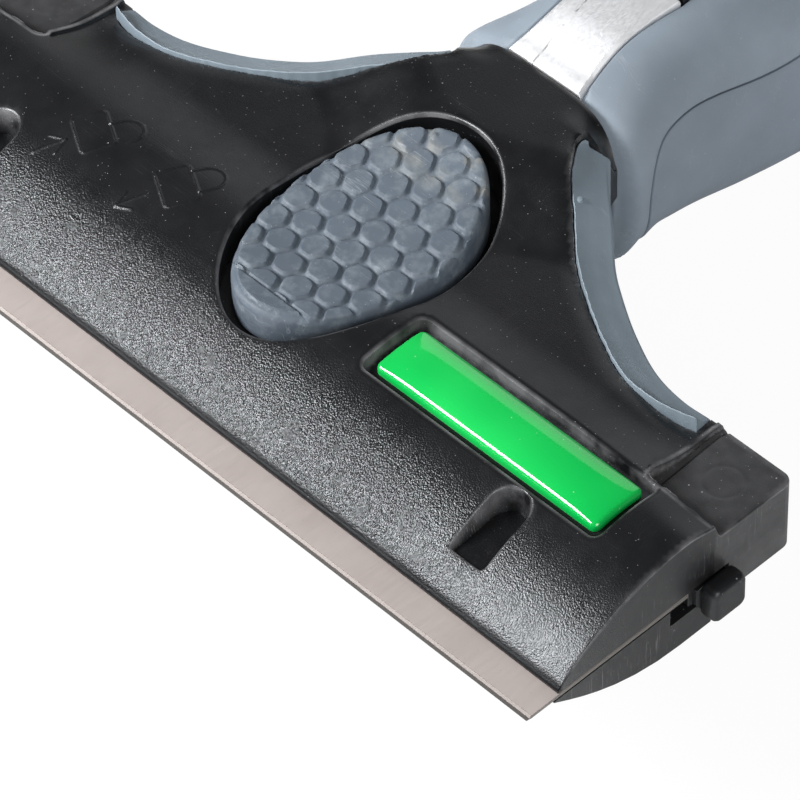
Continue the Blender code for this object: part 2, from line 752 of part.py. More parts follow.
def make_lower_shell(channel, tongue_space, recesses):
    """Build the lower shell."""
    front = [JAW_LIP_Y + (KEEL_Y - JAW_LIP_Y) * s for s in JAW_SHARES]
    rows = front + steps(KEEL_Y, NECK_END_Y + OVERRUN, 12)
    seat = -BLADE_THICKNESS - BLADE_GAP
    blade_back = BLADE_EDGE_Y + BLADE_DEPTH + FIT_GAP
    rings = []
    for x in (-half_width() - OVERRUN, 0.0, half_width() + OVERRUN):
        ring = [(x, y, bottom_height(y)) for y in rows]
        ring += [(x, rows[-1], BLADE_GAP - FIT_GAP), (x, blade_back, BLADE_GAP - FIT_GAP)]
        ring += [(x, blade_back, seat), (x, rows[0], seat)]
        rings.append(ring)
    shell = loft("lower_shell", rings)
    trim = outline_plate("jaw_trim", jaw_outline(), -NECK_DEPTH - OVERRUN, OVERRUN, CUTTERS)
    boolean(shell, as_cutter(trim), "INTERSECT")
    plate_low = seat - FIT_GAP - PLATE_THICKNESS - BUTTON_TRAVEL - FIT_GAP
    reach = plate_half_length() + FIT_GAP
    low = (-reach, PLATE_FRONT_Y - FIT_GAP, plate_low)
    pit = block("plate_space", low, (reach, BAR_FRONT_Y, BLADE_GAP), CUTTERS)
    arm_low = plate_low - PLATE_THICKNESS
    arm_half = ARM_HALF_WIDTH + FIT_GAP
    low = (BUTTON_X - arm_half, PLATE_FRONT_Y - FIT_GAP, arm_low)
    high = (BUTTON_X + arm_half, ARM_BACK_Y + FIT_GAP, BLADE_GAP)
    arm_pit = block("arm_space", low, high, CUTTERS)
    spring_pit = cylinder(
        "spring_space", SPRING_RADIUS + SPRING_WIRE + FIT_GAP, BUTTON_X, SPRING_Y, arm_low, OVERRUN, 20, CUTTERS
    )
    screw_y = STEM_FRONT_Y + STEM_DEPTH_Y / 2
    head_low = arm_low - CLAMP_HEAD_HEIGHT - FIT_GAP
    head_pit = cylinder("head_space", SCREW_HEAD_RADIUS + FIT_GAP, BUTTON_X, screw_y, head_low, 0.0, 20, CUTTERS)
    cut(shell, channel, tongue_space, *recesses)
    cut(shell, as_cutter(pit), as_cutter(arm_pit), as_cutter(spring_pit), as_cutter(head_pit))
    for name, places in (("lower_hole", shell_screw_places()), ("tongue_hole", handle_screw_places())):
        screw_holes(shell, name, places, -NECK_DEPTH - OVERRUN, OVERRUN, SCREW_RADIUS + FIT_GAP)
        for index, (x, y) in enumerate(places):
            high = seat_height(y) + SCREW_HEAD_HEIGHT + FIT_GAP
            sink = cylinder(
                f"{name}_sink_{index}", SCREW_HEAD_RADIUS + FIT_GAP, x, y, -NECK_DEPTH - OVERRUN, high, 20, CUTTERS
            )
            cut(shell, as_cutter(sink))
    return as_part(shell, (0.012, 0.012, 0.013), 0.42)


def make_blade():
    """Build the blade with its bevelled cutting edge."""
    edge = 0.0
    back = BLADE_DEPTH
    section = [
        (edge, -BLADE_THICKNESS * 0.6), (BLADE_BEVEL, 0.0), (back, 0.0),
        (back, -BLADE_THICKNESS), (BLADE_BEVEL, -BLADE_THICKNESS),
    ]
    rings = [[(x, y, z) for y, z in section] for x in (-half_width(), half_width())]
    blade = loft("blade", rings)
    blade.location = (0.0, BLADE_EDGE_Y, 0.0)
    return as_part(blade, (0.55, 0.50, 0.48), 0.3, 1.0)


def make_carriage():
    """Build the bar that pushes the blade, with a bevelled knob at each end."""
    back = BAR_FRONT_Y + BAR_DEPTH_Y
    reach = half_width() + FIT_GAP + KNOB_LENGTH / 2
    low = (-reach, BAR_FRONT_Y, BAR_TOP - BAR_HEIGHT)
    bar = block("blade_carriage", low, (reach, back, BAR_TOP))
    for name, side in (("left", -1), ("right", 1)):
        ends = sorted((side * (half_width() + FIT_GAP), side * (half_width() + FIT_GAP + KNOB_LENGTH)))
        knob = block(
            "knob_" + name, (ends[0], KNOB_FRONT_Y, KNOB_BOTTOM),
            (ends[1], KNOB_FRONT_Y + KNOB_DEPTH_Y, KNOB_TOP), CUTTERS,
        )
        bevel = knob.modifiers.new("Round", "BEVEL")
        bevel.width = KNOB_BEVEL
        bevel.segments = 2
        join(bar, as_cutter(knob))
    half = ARM_HALF_WIDTH + FIT_GAP * 3
    low = (BUTTON_X - half, BAR_FRONT_Y - OVERRUN, BAR_TOP - BAR_HEIGHT - OVERRUN)
    high = (BUTTON_X + half, back + OVERRUN, BAR_TOP - BAR_HEIGHT + BAR_NOTCH_HEIGHT)
    return as_part(cut(bar, as_cutter(block("bar_notch", low, high, CUTTERS))), (0.015, 0.015, 0.016), 0.5)


def plate_half_length():
    """Half the clamp plate's length along the blade."""
    return PLATE_END_SHARE * half_width()


def plate_top():
    """Height of the clamp plate's upper face."""
    return -BLADE_THICKNESS - FIT_GAP


def arm_top():
    """Height of the upper face of the clamp plate's arm."""
    return BAR_TOP - BAR_HEIGHT + BAR_NOTCH_HEIGHT - FIT_GAP


def make_clamp_plate():
    """Build the clamp plate with its cranked arm."""
    half = plate_half_length()
    low = (-half, PLATE_FRONT_Y, plate_top() - PLATE_THICKNESS)
    plate = block("clamp_plate", low, (half, PLATE_BACK_Y, plate_top()))
    low = (BUTTON_X - ARM_HALF_WIDTH, PLATE_FRONT_Y + PLATE_THICKNESS, arm_top() - PLATE_THICKNESS)
    high = (BUTTON_X + ARM_HALF_WIDTH, ARM_BACK_Y, arm_top())
    join(plate, as_cutter(block("clamp_arm", low, high, CUTTERS)))
    screw_y = STEM_FRONT_Y + STEM_DEPTH_Y / 2
    hole = cylinder(
        "clamp_hole", SCREW_RADIUS + FIT_GAP, BUTTON_X, screw_y, -KEEL_DEPTH, OVERRUN, 16, CUTTERS
    )
    return as_part(cut(plate, as_cutter(hole)), (0.5, 0.5, 0.5), 0.35, 1.0)


def make_clamp_screw():
    """Build the screw that holds the clamp plate to the stem."""
    screw_y = STEM_FRONT_Y + STEM_DEPTH_Y / 2
    head_z = arm_top() - PLATE_THICKNESS - CLAMP_HEAD_HEIGHT - FIT_GAP / 2
    return add_screw("clamp_screw", BUTTON_X, screw_y, head_z, CLAMP_SCREW_LENGTH, CLAMP_HEAD_HEIGHT)


def make_button():
    """Build the hard button: flange, core and stem."""
    low = FLANGE_TOP - FLANGE_THICKNESS
    button = outline_plate("thumb_button", cavity_outline(0.0), low, FLANGE_TOP)
    core = egg(PAD_HALF_WIDTH - CORE_INSET, PAD_HALF_LENGTH - CORE_INSET, BUTTON_X, BUTTON_Y)
    core = outline_plate("button_core", core, low + FIT_GAP, CORE_TOP, CUTTERS)
    half = STEM_WIDTH / 2
    stem_low = (BUTTON_X - half, STEM_FRONT_Y, arm_top() + FIT_GAP)
    stem_high = (BUTTON_X + half, STEM_FRONT_Y + STEM_DEPTH_Y, FLANGE_TOP - FIT_GAP)
    join(button, as_cutter(core), as_cutter(block("button_stem", stem_low, stem_high, CUTTERS)))
    screw_y = STEM_FRONT_Y + STEM_DEPTH_Y / 2
    high = arm_top() + CLAMP_SCREW_LENGTH
    hole = cylinder("stem_hole", SCREW_RADIUS + FIT_GAP, BUTTON_X, screw_y, -KEEL_DEPTH, high, 16, CUTTERS)
    return as_part(cut(button, as_cutter(hole)), (0.02, 0.02, 0.022), 0.5)


def pad_height(y):
    """Height of the pad's top, dished for the thumb and higher behind."""
    long = (y - BUTTON_Y) / PAD_HALF_LENGTH
    return PAD_TOP + PAD_DISH * long * long + PAD_TILT * long


def hexagon_places():
    """Return the centres of the pad's hexagonal bosses, in staggered columns."""
    places = []
    for column in range(-3, 4):
        x = HEX_OFFSET_X + column * HEX_PITCH_X
        for row in range(-5, 6):
            y = HEX_OFFSET_Y + (row + (column % 2) / 2) * HEX_PITCH_Y
            inside = math.hypot(x / PAD_HALF_WIDTH, y / PAD_HALF_LENGTH) < 1
            if inside and BUTTON_Y + y > HEX_FRONT_Y:
                places.append((BUTTON_X + x, BUTTON_Y + y))
    return places


def hexagon_bosses():
    """Return the bosses, trimmed to the pad's outline."""
    bm = bmesh.new()
    depth = HEX_HEIGHT + HEX_SINK
    for x, y in hexagon_places():
        bump = bmesh.ops.create_cone(
            bm, cap_ends=True, segments=6, radius1=HEX_RADIUS, radius2=HEX_TOP_RADIUS, depth=depth
        )
        turn = Matrix.Rotation(math.pi / 2, 3, "Z")
        bmesh.ops.rotate(bm, verts=bump["verts"], matrix=turn)
        middle = pad_height(y) + (HEX_HEIGHT - HEX_SINK) / 2
        bmesh.ops.translate(bm, verts=bump["verts"], vec=(x, y, middle))
    mesh = bpy.data.meshes.new("bosses")
    bm.to_mesh(mesh)
    bm.free()
    bosses = add_object("bosses", mesh, CUTTERS)
    outline = egg(PAD_HALF_WIDTH - HEX_EDGE, PAD_HALF_LENGTH - HEX_EDGE, BUTTON_X, BUTTON_Y)
    trim = outline_plate("boss_trim", outline, 0.0, PAD_TOP + OVERRUN * 2, CUTTERS)
    return as_cutter(boolean(bosses, as_cutter(trim), "INTERSECT"))


def make_pad():
    """Build the rubber pad: a cap over the button's core with hexagonal bosses."""
    outline = egg(PAD_HALF_WIDTH, PAD_HALF_LENGTH, BUTTON_X, BUTTON_Y)
    rings = [[(x, y, FLANGE_TOP + FIT_GAP) for x, y in outline]]
    for inset, drop in PAD_EDGE_SHARES:
        inset *= PAD_ROUND
        outline = egg(PAD_HALF_WIDTH - inset, PAD_HALF_LENGTH - inset, BUTTON_X, BUTTON_Y)
        rings.append([(x, y, pad_height(y) - drop * PAD_ROUND) for x, y in outline])
    pad = join(loft("thumb_pad", rings), hexagon_bosses())
    spare = CORE_INSET - FIT_GAP
    space = egg(PAD_HALF_WIDTH - spare, PAD_HALF_LENGTH - spare, BUTTON_X, BUTTON_Y)
    cut(pad, as_cutter(outline_plate("core_space", space, 0.0, CORE_TOP + FIT_GAP, CUTTERS)))
    return as_part(pad, (0.13, 0.16, 0.19), 0.55)


def make_spring():
    """Build the coil spring under the button as one unbroken wire."""
    low = plate_top() - FIT_GAP * 2 - PLATE_THICKNESS * 2 - BUTTON_TRAVEL + SPRING_WIRE
    high = FLANGE_TOP - FLANGE_THICKNESS - FIT_GAP - SPRING_WIRE / 2
    curve = bpy.data.curves.new("button_spring", "CURVE")
    curve.dimensions = "3D"
    curve.bevel_depth = SPRING_WIRE / 2
    curve.bevel_resolution = 1
    curve.use_fill_caps = True
    spline = curve.splines.new("POLY")
    count = SPRING_TURNS * 10
    spline.points.add(count)
    for index, point in enumerate(spline.points):
        angle = 2 * math.pi * SPRING_TURNS * index / count
        x = BUTTON_X + SPRING_RADIUS * math.cos(angle)
        y = SPRING_Y + SPRING_RADIUS * math.sin(angle)
        point.co = (x, y, low + (high - low) * index / count, 1.0)
    pitch = (high - low) / SPRING_TURNS
    print(f"least gap between the spring's turns: {pitch - SPRING_WIRE:.5f} m")
    spring = add_object("button_spring", curve, PARTS)
    return as_part(spring, (0.5, 0.5, 0.5), 0.3, 1.0)


def table_value(table, share, column):
    """Read a column of a table at a share, with eased steps between its rows."""
    for first, second in zip(table, table[1:]):
        if share <= second[0]:
            blend = (share - first[0]) / (second[0] - first[0])
            return first[column] + (second[column] - first[column]) * min(max(blend, 0.0), 1.0)
    return table[-1][column]


def handle_point(y, angle, offset):
    """Return a point of the handle's section, offset outwards."""
    share = (y - HANDLE_START_Y) / (HANDLE_END_Y - HANDLE_START_Y)
    half = table_value(HANDLE_SHARES, share, 1) * HANDLE_WIDTH / 2 + offset
    top = table_value(HANDLE_SHARES, share, 2) * HANDLE_HEIGHT + offset
    middle = table_value(HANDLE_SHARES, share, 3) * HANDLE_HEIGHT
    bottom = table_value(HANDLE_SHARES, share, 4) * HANDLE_HEIGHT - offset
    power = HANDLE_UPPER_POWER if math.sin(angle) > 0 else HANDLE_LOWER_POWER
    reach = top - middle if math.sin(angle) > 0 else middle - bottom
    across = abs(math.cos(angle)) ** (2 / power)
    up = abs(math.sin(angle)) ** (2 / power)
    return (
        math.copysign(half * across, math.cos(angle)), y, middle + math.copysign(reach * up, math.sin(angle))
    )


def seam_points(gap):
    """Return the seam seen from the side as Y and Z, moved back and down by a gap."""
    length = HANDLE_END_Y - HANDLE_START_Y
    points = [(HANDLE_START_Y + share * length + gap, z * HANDLE_HEIGHT - gap) for share, z in SEAM_SHARES]
    return points + [(HANDLE_END_Y + COLLAR_LENGTH, points[-1][1])]


def side_plate(name, outline):
    """Return a cutter from an outline in Y and Z, through the whole handle's width."""
    rings = [[(x, y, z) for y, z in outline] for x in (-HANDLE_WIDTH, HANDLE_WIDTH)]
    return as_cutter(loft(name, rings, CUTTERS))


def handle_rings(start_y, offset):
    """Return the handle's sections, offset outwards, from a place to its end."""
    length = HANDLE_END_Y - HANDLE_START_Y
    places = [HANDLE_START_Y + row[0] * length for row in HANDLE_SHARES]
    places = [start_y] + [y for y in places if y > start_y + FIT_GAP]
    turn = steps(0, 2 * math.pi, 49)[:-1]
    return [[handle_point(y, angle, offset) for angle in turn] for y in places]


def handle_tube(name, start_y, offset):
    """Build a tube that follows the handle and is open at both ends."""
    tube = loft(name, handle_rings(start_y, offset))
    inner = handle_rings(start_y - OVERRUN, -GRIP_WALL)
    inner.append([(x, y + OVERRUN, z) for x, y, z in inner[-1]])
    return cut(tube, as_cutter(loft(name + "_hollow", inner, CUTTERS)))


def make_sleeve(strip_space):
    """Build the sleeve: round behind the neck, then a cover along the handle's top."""
    low = -HANDLE_HEIGHT
    seam = seam_points(0.0)
    below = side_plate("below_seam", seam + [(seam[-1][0], low), (seam[0][0], low)])
    sleeve = cut(handle_tube("handle_sleeve", HANDLE_START_Y, 0.0), below, strip_space)
    return as_part(sleeve, (0.15, 0.18, 0.21), 0.6)


def make_main_grip():
    """Build the main grip below the seam, a little proud of the sleeve."""
    high = HANDLE_HEIGHT
    seam = seam_points(SEAM_GAP)
    front = HANDLE_START_Y - OVERRUN
    outline = seam + [(seam[-1][0], high), (front, high), (front, -high), (seam[0][0], -high)]
    above = side_plate("above_seam", outline)
    grip = cut(handle_tube("main_grip", HANDLE_START_Y, GRIP_PROUD), above)
    return as_part(grip, (0.15, 0.18, 0.21), 0.62)


def make_core():
    """Build the core with its tongue in the head and its socket for a pole."""
    core = loft("handle_core", handle_rings(HANDLE_START_Y, -GRIP_WALL - FIT_GAP))
    half = TONGUE_WIDTH / 2
    low = (-half, TONGUE_START_Y, TONGUE_BOTTOM)
    tongue = block("core_tongue", low, (half, HANDLE_START_Y + OVERRUN, TONGUE_TOP), CUTTERS)
    join(core, as_cutter(tongue))
    screw_holes(core, "core_hole", handle_screw_places(), TONGUE_BOTTOM - OVERRUN, OVERRUN, SCREW_RADIUS + FIT_GAP)
    return as_part(cut(core, socket_cutter()), (0.02, 0.02, 0.022), 0.5)


def socket_cutter():
    """Return the tapered cutter of the pole socket."""
    bm = bmesh.new()
    depth = SOCKET_DEPTH + OVERRUN
    mouth = min(HANDLE_WIDTH, HANDLE_HEIGHT) / 2 - SOCKET_WALL
    bmesh.ops.create_cone(
        bm, cap_ends=True, segments=32, radius1=mouth, radius2=mouth - SOCKET_TAPER, depth=depth
    )
    mesh = bpy.data.meshes.new("pole_socket")
    bm.to_mesh(mesh)
    bm.free()
    item = add_object("pole_socket", mesh, CUTTERS)
    item.rotation_euler = (math.pi / 2, 0.0, 0.0)
    item.location = (0.0, HANDLE_END_Y + COLLAR_LENGTH + OVERRUN - depth / 2, 0.0)
    return as_cutter(item)


def make_collar():
    """Build the ring at the handle's open end."""
    round_off = COLLAR_LENGTH / 4
    radius = HANDLE_SHARES[-1][1] * HANDLE_WIDTH / 2 - COLLAR_INSET
    profile = [(0.0, COLLAR_LENGTH), (radius - round_off, COLLAR_LENGTH)]
    profile += [(radius - round_off / 3, COLLAR_LENGTH - round_off / 3)]
    profile += [(radius, COLLAR_LENGTH - round_off), (radius, 0.0), (0.0, 0.0)]
    collar = turned("end_collar", profile, 40)
    collar.rotation_euler = (-math.pi / 2, 0.0, 0.0)
    collar.location = (0.0, HANDLE_END_Y + FIT_GAP, 0.0)
    return as_part(cut(collar, bpy.data.objects["pole_socket"]), (0.015, 0.015, 0.016), 0.45)


def strip_rings(start, end, spare):
    """Return sections of the strip that lies on the handle's top."""
    length = HANDLE_END_Y - HANDLE_START_Y
    places = [HANDLE_START_Y + row[0] * length for row in HANDLE_SHARES]
    places = [y for y in places if start < y < end]
    rings = []
    for y in [start - spare] + places + [end + spare]:
        top = handle_point(y, math.pi / 2, 0.0)[2] + STRIP_RISE
        along = min(max((y - HANDLE_START_Y) / (STRIP_END_Y - HANDLE_START_Y), 0.0), 1.0)
        half = STRIP_WIDTH / 2 - STRIP_PINCH * math.sin(math.pi * along) + spare
        low = top - STRIP_THICKNESS - spare
        high = top + (OVERRUN if spare else 0.0)
        rings.append([(-half, y, low), (half, y, low), (half, y, high), (-half, y, high)])
    return rings


def make_strip_pieces():
    """Build the bright strip and the dark insert behind it, and return their shared space."""
    strip = loft("spine_strip", strip_rings(HANDLE_START_Y, STRIP_END_Y, 0.0))
    as_part(strip, (0.62, 0.62, 0.63), 0.3, 1.0)
    insert = loft("spine_insert", strip_rings(STRIP_END_Y + FIT_GAP, INSERT_END_Y, 0.0))
    as_part(insert, (0.02, 0.02, 0.022), 0.5)
    return as_cutter(loft("strip_space", strip_rings(HANDLE_START_Y - OVERRUN, INSERT_END_Y, FIT_GAP), CUTTERS))


def make_badge():
    """Build the domed badge in its recess."""
    low = -BADGE_RECESS_DEPTH + FIT_GAP
    badge = dome_slab("badge", BADGE_MARGIN, low, -BADGE_EDGE_DEPTH, BADGE_RISE, PARTS)
    return as_part(badge, (0.0, 0.55, 0.12), 0.15)


def main():
    """Build every piece of the scraper."""
    channel = slot_cutter()
    tongue_space = tongue_cutter()
    recesses = [flank_grip(side)[1] for side in (-1, 1)]
    make_upper_shell(channel, tongue_space, recesses)
    make_lower_shell(channel, tongue_space, recesses)
    make_blade()
    make_carriage()
    make_clamp_plate()
    make_clamp_screw()
    make_button()
    make_pad()
    make_spring()
    make_badge()
    for name, (x, y) in zip(("front_right", "rear_right", "front_left", "rear_left"), shell_screw_places()):
        add_screw("shell_screw_" + name, x, y, seat_height(y), SCREW_LENGTH, SCREW_HEAD_HEIGHT)
    for name, (x, y) in zip(("right", "left"), handle_screw_places()):
        add_screw("handle_screw_" + name, x, y, seat_height(y), SCREW_LENGTH, SCREW_HEAD_HEIGHT)
    strip_space = make_strip_pieces()
    make_core()
    make_sleeve(strip_space)
    make_main_grip()
    make_collar()


main()
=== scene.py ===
"""Hand scraper: the look of the tool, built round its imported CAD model.

The shapes are drawn in the head frame, in millimetres: X runs along the blade, Y from the
cutting edge to the handle's end and Z is up, with the datum at the blade's top face. The
visible pieces follow the same formulas as the CAD source, at a finer resolution.
"""
from __future__ import annotations

import logging
import math
from dataclasses import dataclass, field
from enum import Enum
from typing import Sequence

import bmesh
import bpy
import numpy as np
from mathutils import Matrix, Vector
from mathutils.geometry import delaunay_2d_cdt
from mathutils.kdtree import KDTree

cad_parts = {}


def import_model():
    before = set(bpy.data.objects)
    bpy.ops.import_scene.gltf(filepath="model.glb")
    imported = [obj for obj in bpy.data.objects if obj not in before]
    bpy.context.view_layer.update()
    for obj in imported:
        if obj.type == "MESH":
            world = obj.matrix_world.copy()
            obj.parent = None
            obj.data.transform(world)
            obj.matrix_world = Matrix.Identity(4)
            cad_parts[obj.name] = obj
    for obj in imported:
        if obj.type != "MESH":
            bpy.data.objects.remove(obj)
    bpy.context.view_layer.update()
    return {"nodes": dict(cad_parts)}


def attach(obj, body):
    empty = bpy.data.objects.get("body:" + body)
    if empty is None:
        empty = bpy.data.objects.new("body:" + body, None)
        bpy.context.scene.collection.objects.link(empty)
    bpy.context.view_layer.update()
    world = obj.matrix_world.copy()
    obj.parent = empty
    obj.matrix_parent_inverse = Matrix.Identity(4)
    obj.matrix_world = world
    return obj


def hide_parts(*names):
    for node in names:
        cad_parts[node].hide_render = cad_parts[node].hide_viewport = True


LOG = logging.getLogger("scraper")
MM = 0.001
ORIGIN = np.array([0.0, -92.65, 16.6])

Array = np.ndarray
Colour = tuple[float, float, float]
Pair = tuple[float, float]
Lines = list[tuple[Array, bool]]
Socket = bpy.types.NodeSocket
Material = bpy.types.Material
Piece = bpy.types.Object


# ---------------------------------------------------------------- numbers and curves


def ease(value: Array | float) -> Array:
    """Blend from 0 to 1 with level ends."""
    value = np.clip(value, 0.0, 1.0)
    return value * value * (3 - 2 * value)


def blend(place: Array, span: Pair) -> Array:
    """Blend from 0 to 1 over a span: its start and its length, which may run backwards."""
    return ease((place - span[0]) / span[1])


def arch(share: Array | float, power: float) -> Array:
    """Rise of a dome from 0 at its lip to 1 at its crest."""
    share = np.clip(share, 0.0, 1.0)
    return (1 - (1 - share) ** 2) ** power


def round_drop(distance: Array, radius: Array | float) -> Array:
    """Depth below a surface of an edge rounding, at a distance inside the edge."""
    share = np.clip(1 - distance / radius, 0.0, 1.0)
    return radius * (1 - np.sqrt(1 - share**2))


def resample(line: Array, step: float, closed: bool) -> Array:
    """Return a line with its corners kept and no run longer than a step.

    Args:
        line: Points, one per row.
        step: Longest run between two points.
        closed: Whether the last point joins the first.

    Returns:
        The denser line.
    """
    ends = np.roll(line, -1, axis=0) if closed else line[1:]
    starts = line if closed else line[:-1]
    parts = []
    for start, end in zip(starts, ends):
        count = max(1, int(math.ceil(float(np.linalg.norm(end - start)) / step)))
        share = np.arange(count)[:, None] / count
        parts.append(start + (end - start) * share)
    if not closed:
        parts.append(line[-1:])
    return np.vstack(parts)


def smooth_curve(line: Array, step: float) -> Array:
    """Return an even curve through the points of an open line.

    Args:
        line: Points that the curve passes through.
        step: Distance between the points of the result.

    Returns:
        The curve's points.
    """
    padded = np.vstack([2 * line[0] - line[1], line, 2 * line[-1] - line[-2]])
    parts = []
    for index in range(1, len(padded) - 2):
        a, b, c, d = padded[index - 1 : index + 3]
        count = max(2, int(np.linalg.norm(c - b) / step))
        t = (np.arange(count) / count)[:, None]
        bend = (2 * a - 5 * b + 4 * c - d) * t**2
        twist = (3 * b - a - 3 * c + d) * t**3
        parts.append(0.5 * (2 * b + (c - a) * t + bend + twist))
    parts.append(line[-1:])
    return np.vstack(parts)


def offset_line(line: Array, distance: float, closed: bool) -> Array:
    """Move a line to its left by a distance, with mitred corners.

    Args:
        line: Points, one per row.
        distance: Distance to the left of the running direction.
        closed: Whether the last point joins the first.

    Returns:
        The moved line, with as many points.
    """
    if closed:
        before, after = line - np.roll(line, 1, axis=0), np.roll(line, -1, axis=0) - line
    else:
        run = np.diff(line, axis=0)
        before, after = np.vstack([run[:1], run]), np.vstack([run, run[-1:]])
    before = before / np.maximum(np.linalg.norm(before, axis=1, keepdims=True), 1e-9)
    after = after / np.maximum(np.linalg.norm(after, axis=1, keepdims=True), 1e-9)
    normal = np.stack([-(before + after)[:, 1], (before + after)[:, 0]], axis=1)
    normal /= np.maximum(np.linalg.norm(normal, axis=1, keepdims=True), 1e-9)
    left = np.stack([-after[:, 1], after[:, 0]], axis=1)
    cosine = np.maximum((normal * left).sum(axis=1, keepdims=True), 0.4)
    return line + normal * distance / cosine


def follow(line: Array, distances: Sequence[float]) -> Lines:
    """Return closed guide lines, each at a distance to the left of a closed line."""
    return [(offset_line(line, distance, True), True) for distance in distances]


def on_side(line: Array, side: int) -> Array:
    """Return a loop drawn for the right side (1), mirrored for the left side (-1)."""
    return line[::-1] * (-1, 1) if side < 0 else line


def clean_loop(line: Array) -> Array:
    """Drop a loop's doubled points and make it dense and anticlockwise.

    Args:
        line: Points of the loop.

    Returns:
        The cleaned loop.
    """
    keep = np.linalg.norm(line - np.roll(line, 1, axis=0), axis=1) > 1e-6
    line = resample(line[keep], 0.5, True)
    x, y = line.T
    area = (x * np.roll(y, -1) - y * np.roll(x, -1)).sum()
    return line if area > 0 else line[::-1]


def inside(points: Array, loop: Array) -> Array:
    """Tell which points lie inside a closed loop.

    Args:
        points: Places, one a row.
        loop: Corners of the loop.

    Returns:
        True for each place inside.
    """
    result = np.zeros(len(points), bool)
    near = ((points >= loop.min(axis=0)) & (points <= loop.max(axis=0))).all(axis=1)
    x, y = points[near, 0], points[near, 1]
    crossed = np.zeros(len(x), bool)
    for (x0, y0), (x1, y1) in zip(loop, np.roll(loop, -1, axis=0)):
        if y0 == y1:
            continue
        straddles = (y0 > y) != (y1 > y)
        crossed ^= straddles & (x < (x1 - x0) * (y - y0) / (y1 - y0) + x0)
    result[near] = crossed
    return result


def line_distance(points: Array, line: Array, reach: float, closed: bool = True) -> Array:
    """Return each point's distance to a line, exact within a reach and larger beyond it.

    Args:
        points: Points in the plane.
        line: The line's points.
        reach: Distance up to which the result is exact.
        closed: Whether the last point joins the first.

    Returns:
        One distance per point.
    """
    line = resample(line, 0.3, closed)
    result = np.full(len(points), reach * 4)
    near = ((points > line.min(axis=0) - reach) & (points < line.max(axis=0) + reach)).all(axis=1)
    chosen = np.flatnonzero(near)
    tree = KDTree(len(line))
    for index, (x, y) in enumerate(line):
        tree.insert((x, y, 0.0), index)
    tree.balance()
    nearest = np.array([tree.find((x, y, 0.0))[1] for x, y in points[chosen]], int)
    count = len(line)
    best = np.full(len(chosen), np.inf)
    for shift in (-1, 0):
        first, second = nearest + shift, nearest + shift + 1
        if closed:
            first, second = first % count, second % count
        else:
            first, second = np.clip(first, 0, count - 1), np.clip(second, 0, count - 1)
        start, run = line[first], line[second] - line[first]
        length = np.maximum((run**2).sum(axis=1), 1e-12)
        share = np.clip(((points[chosen] - start) * run).sum(axis=1) / length, 0, 1)
        best = np.minimum(best, np.linalg.norm(points[chosen] - start - run * share[:, None], axis=1))
    result[chosen] = best
    return result


def arc(centre: Sequence[float], radius: float, start: float, end: float, count: int) -> Array:
    """Return points on an arc, with its angles in degrees."""
    angle = np.radians(np.linspace(start, end, count))
    return np.stack([centre[0] + radius * np.cos(angle), centre[1] + radius * np.sin(angle)], axis=1)


def rounded_rectangle(low: Sequence[float], high: Sequence[float], radius: float) -> Array:
    """Return a rectangle with round corners, anticlockwise.

    Args:
        low: Lower corner.
        high: Upper corner.
        radius: Radius of the corners.

    Returns:
        Points of the closed outline.
    """
    return np.vstack([
        arc((high[0] - radius, high[1] - radius), radius, 0, 90, 9),
        arc((low[0] + radius, high[1] - radius), radius, 90, 180, 9),
        arc((low[0] + radius, low[1] + radius), radius, 180, 270, 9),
        arc((high[0] - radius, low[1] + radius), radius, 270, 360, 9),
    ])


def lattice(low: Array, high: Array, spacing: float) -> Array:
    """Return staggered points that fill a rectangle.

    Args:
        low: Lower corner.
        high: Upper corner.
        spacing: Distance between neighbours.

    Returns:
        The points, one a row.
    """
    rows = np.arange(low[1], high[1], spacing * 0.87)
    columns = np.arange(low[0], high[0], spacing)
    x, y = np.meshgrid(columns, rows)
    x[1::2] += spacing / 2
    return np.stack([x.ravel(), y.ravel()], axis=1)


# ---------------------------------------------------------------- meshes


@dataclass
class Zone:
    """A closed region of a sheet with its own spacing of points."""

    loop: Array
    spacing: float


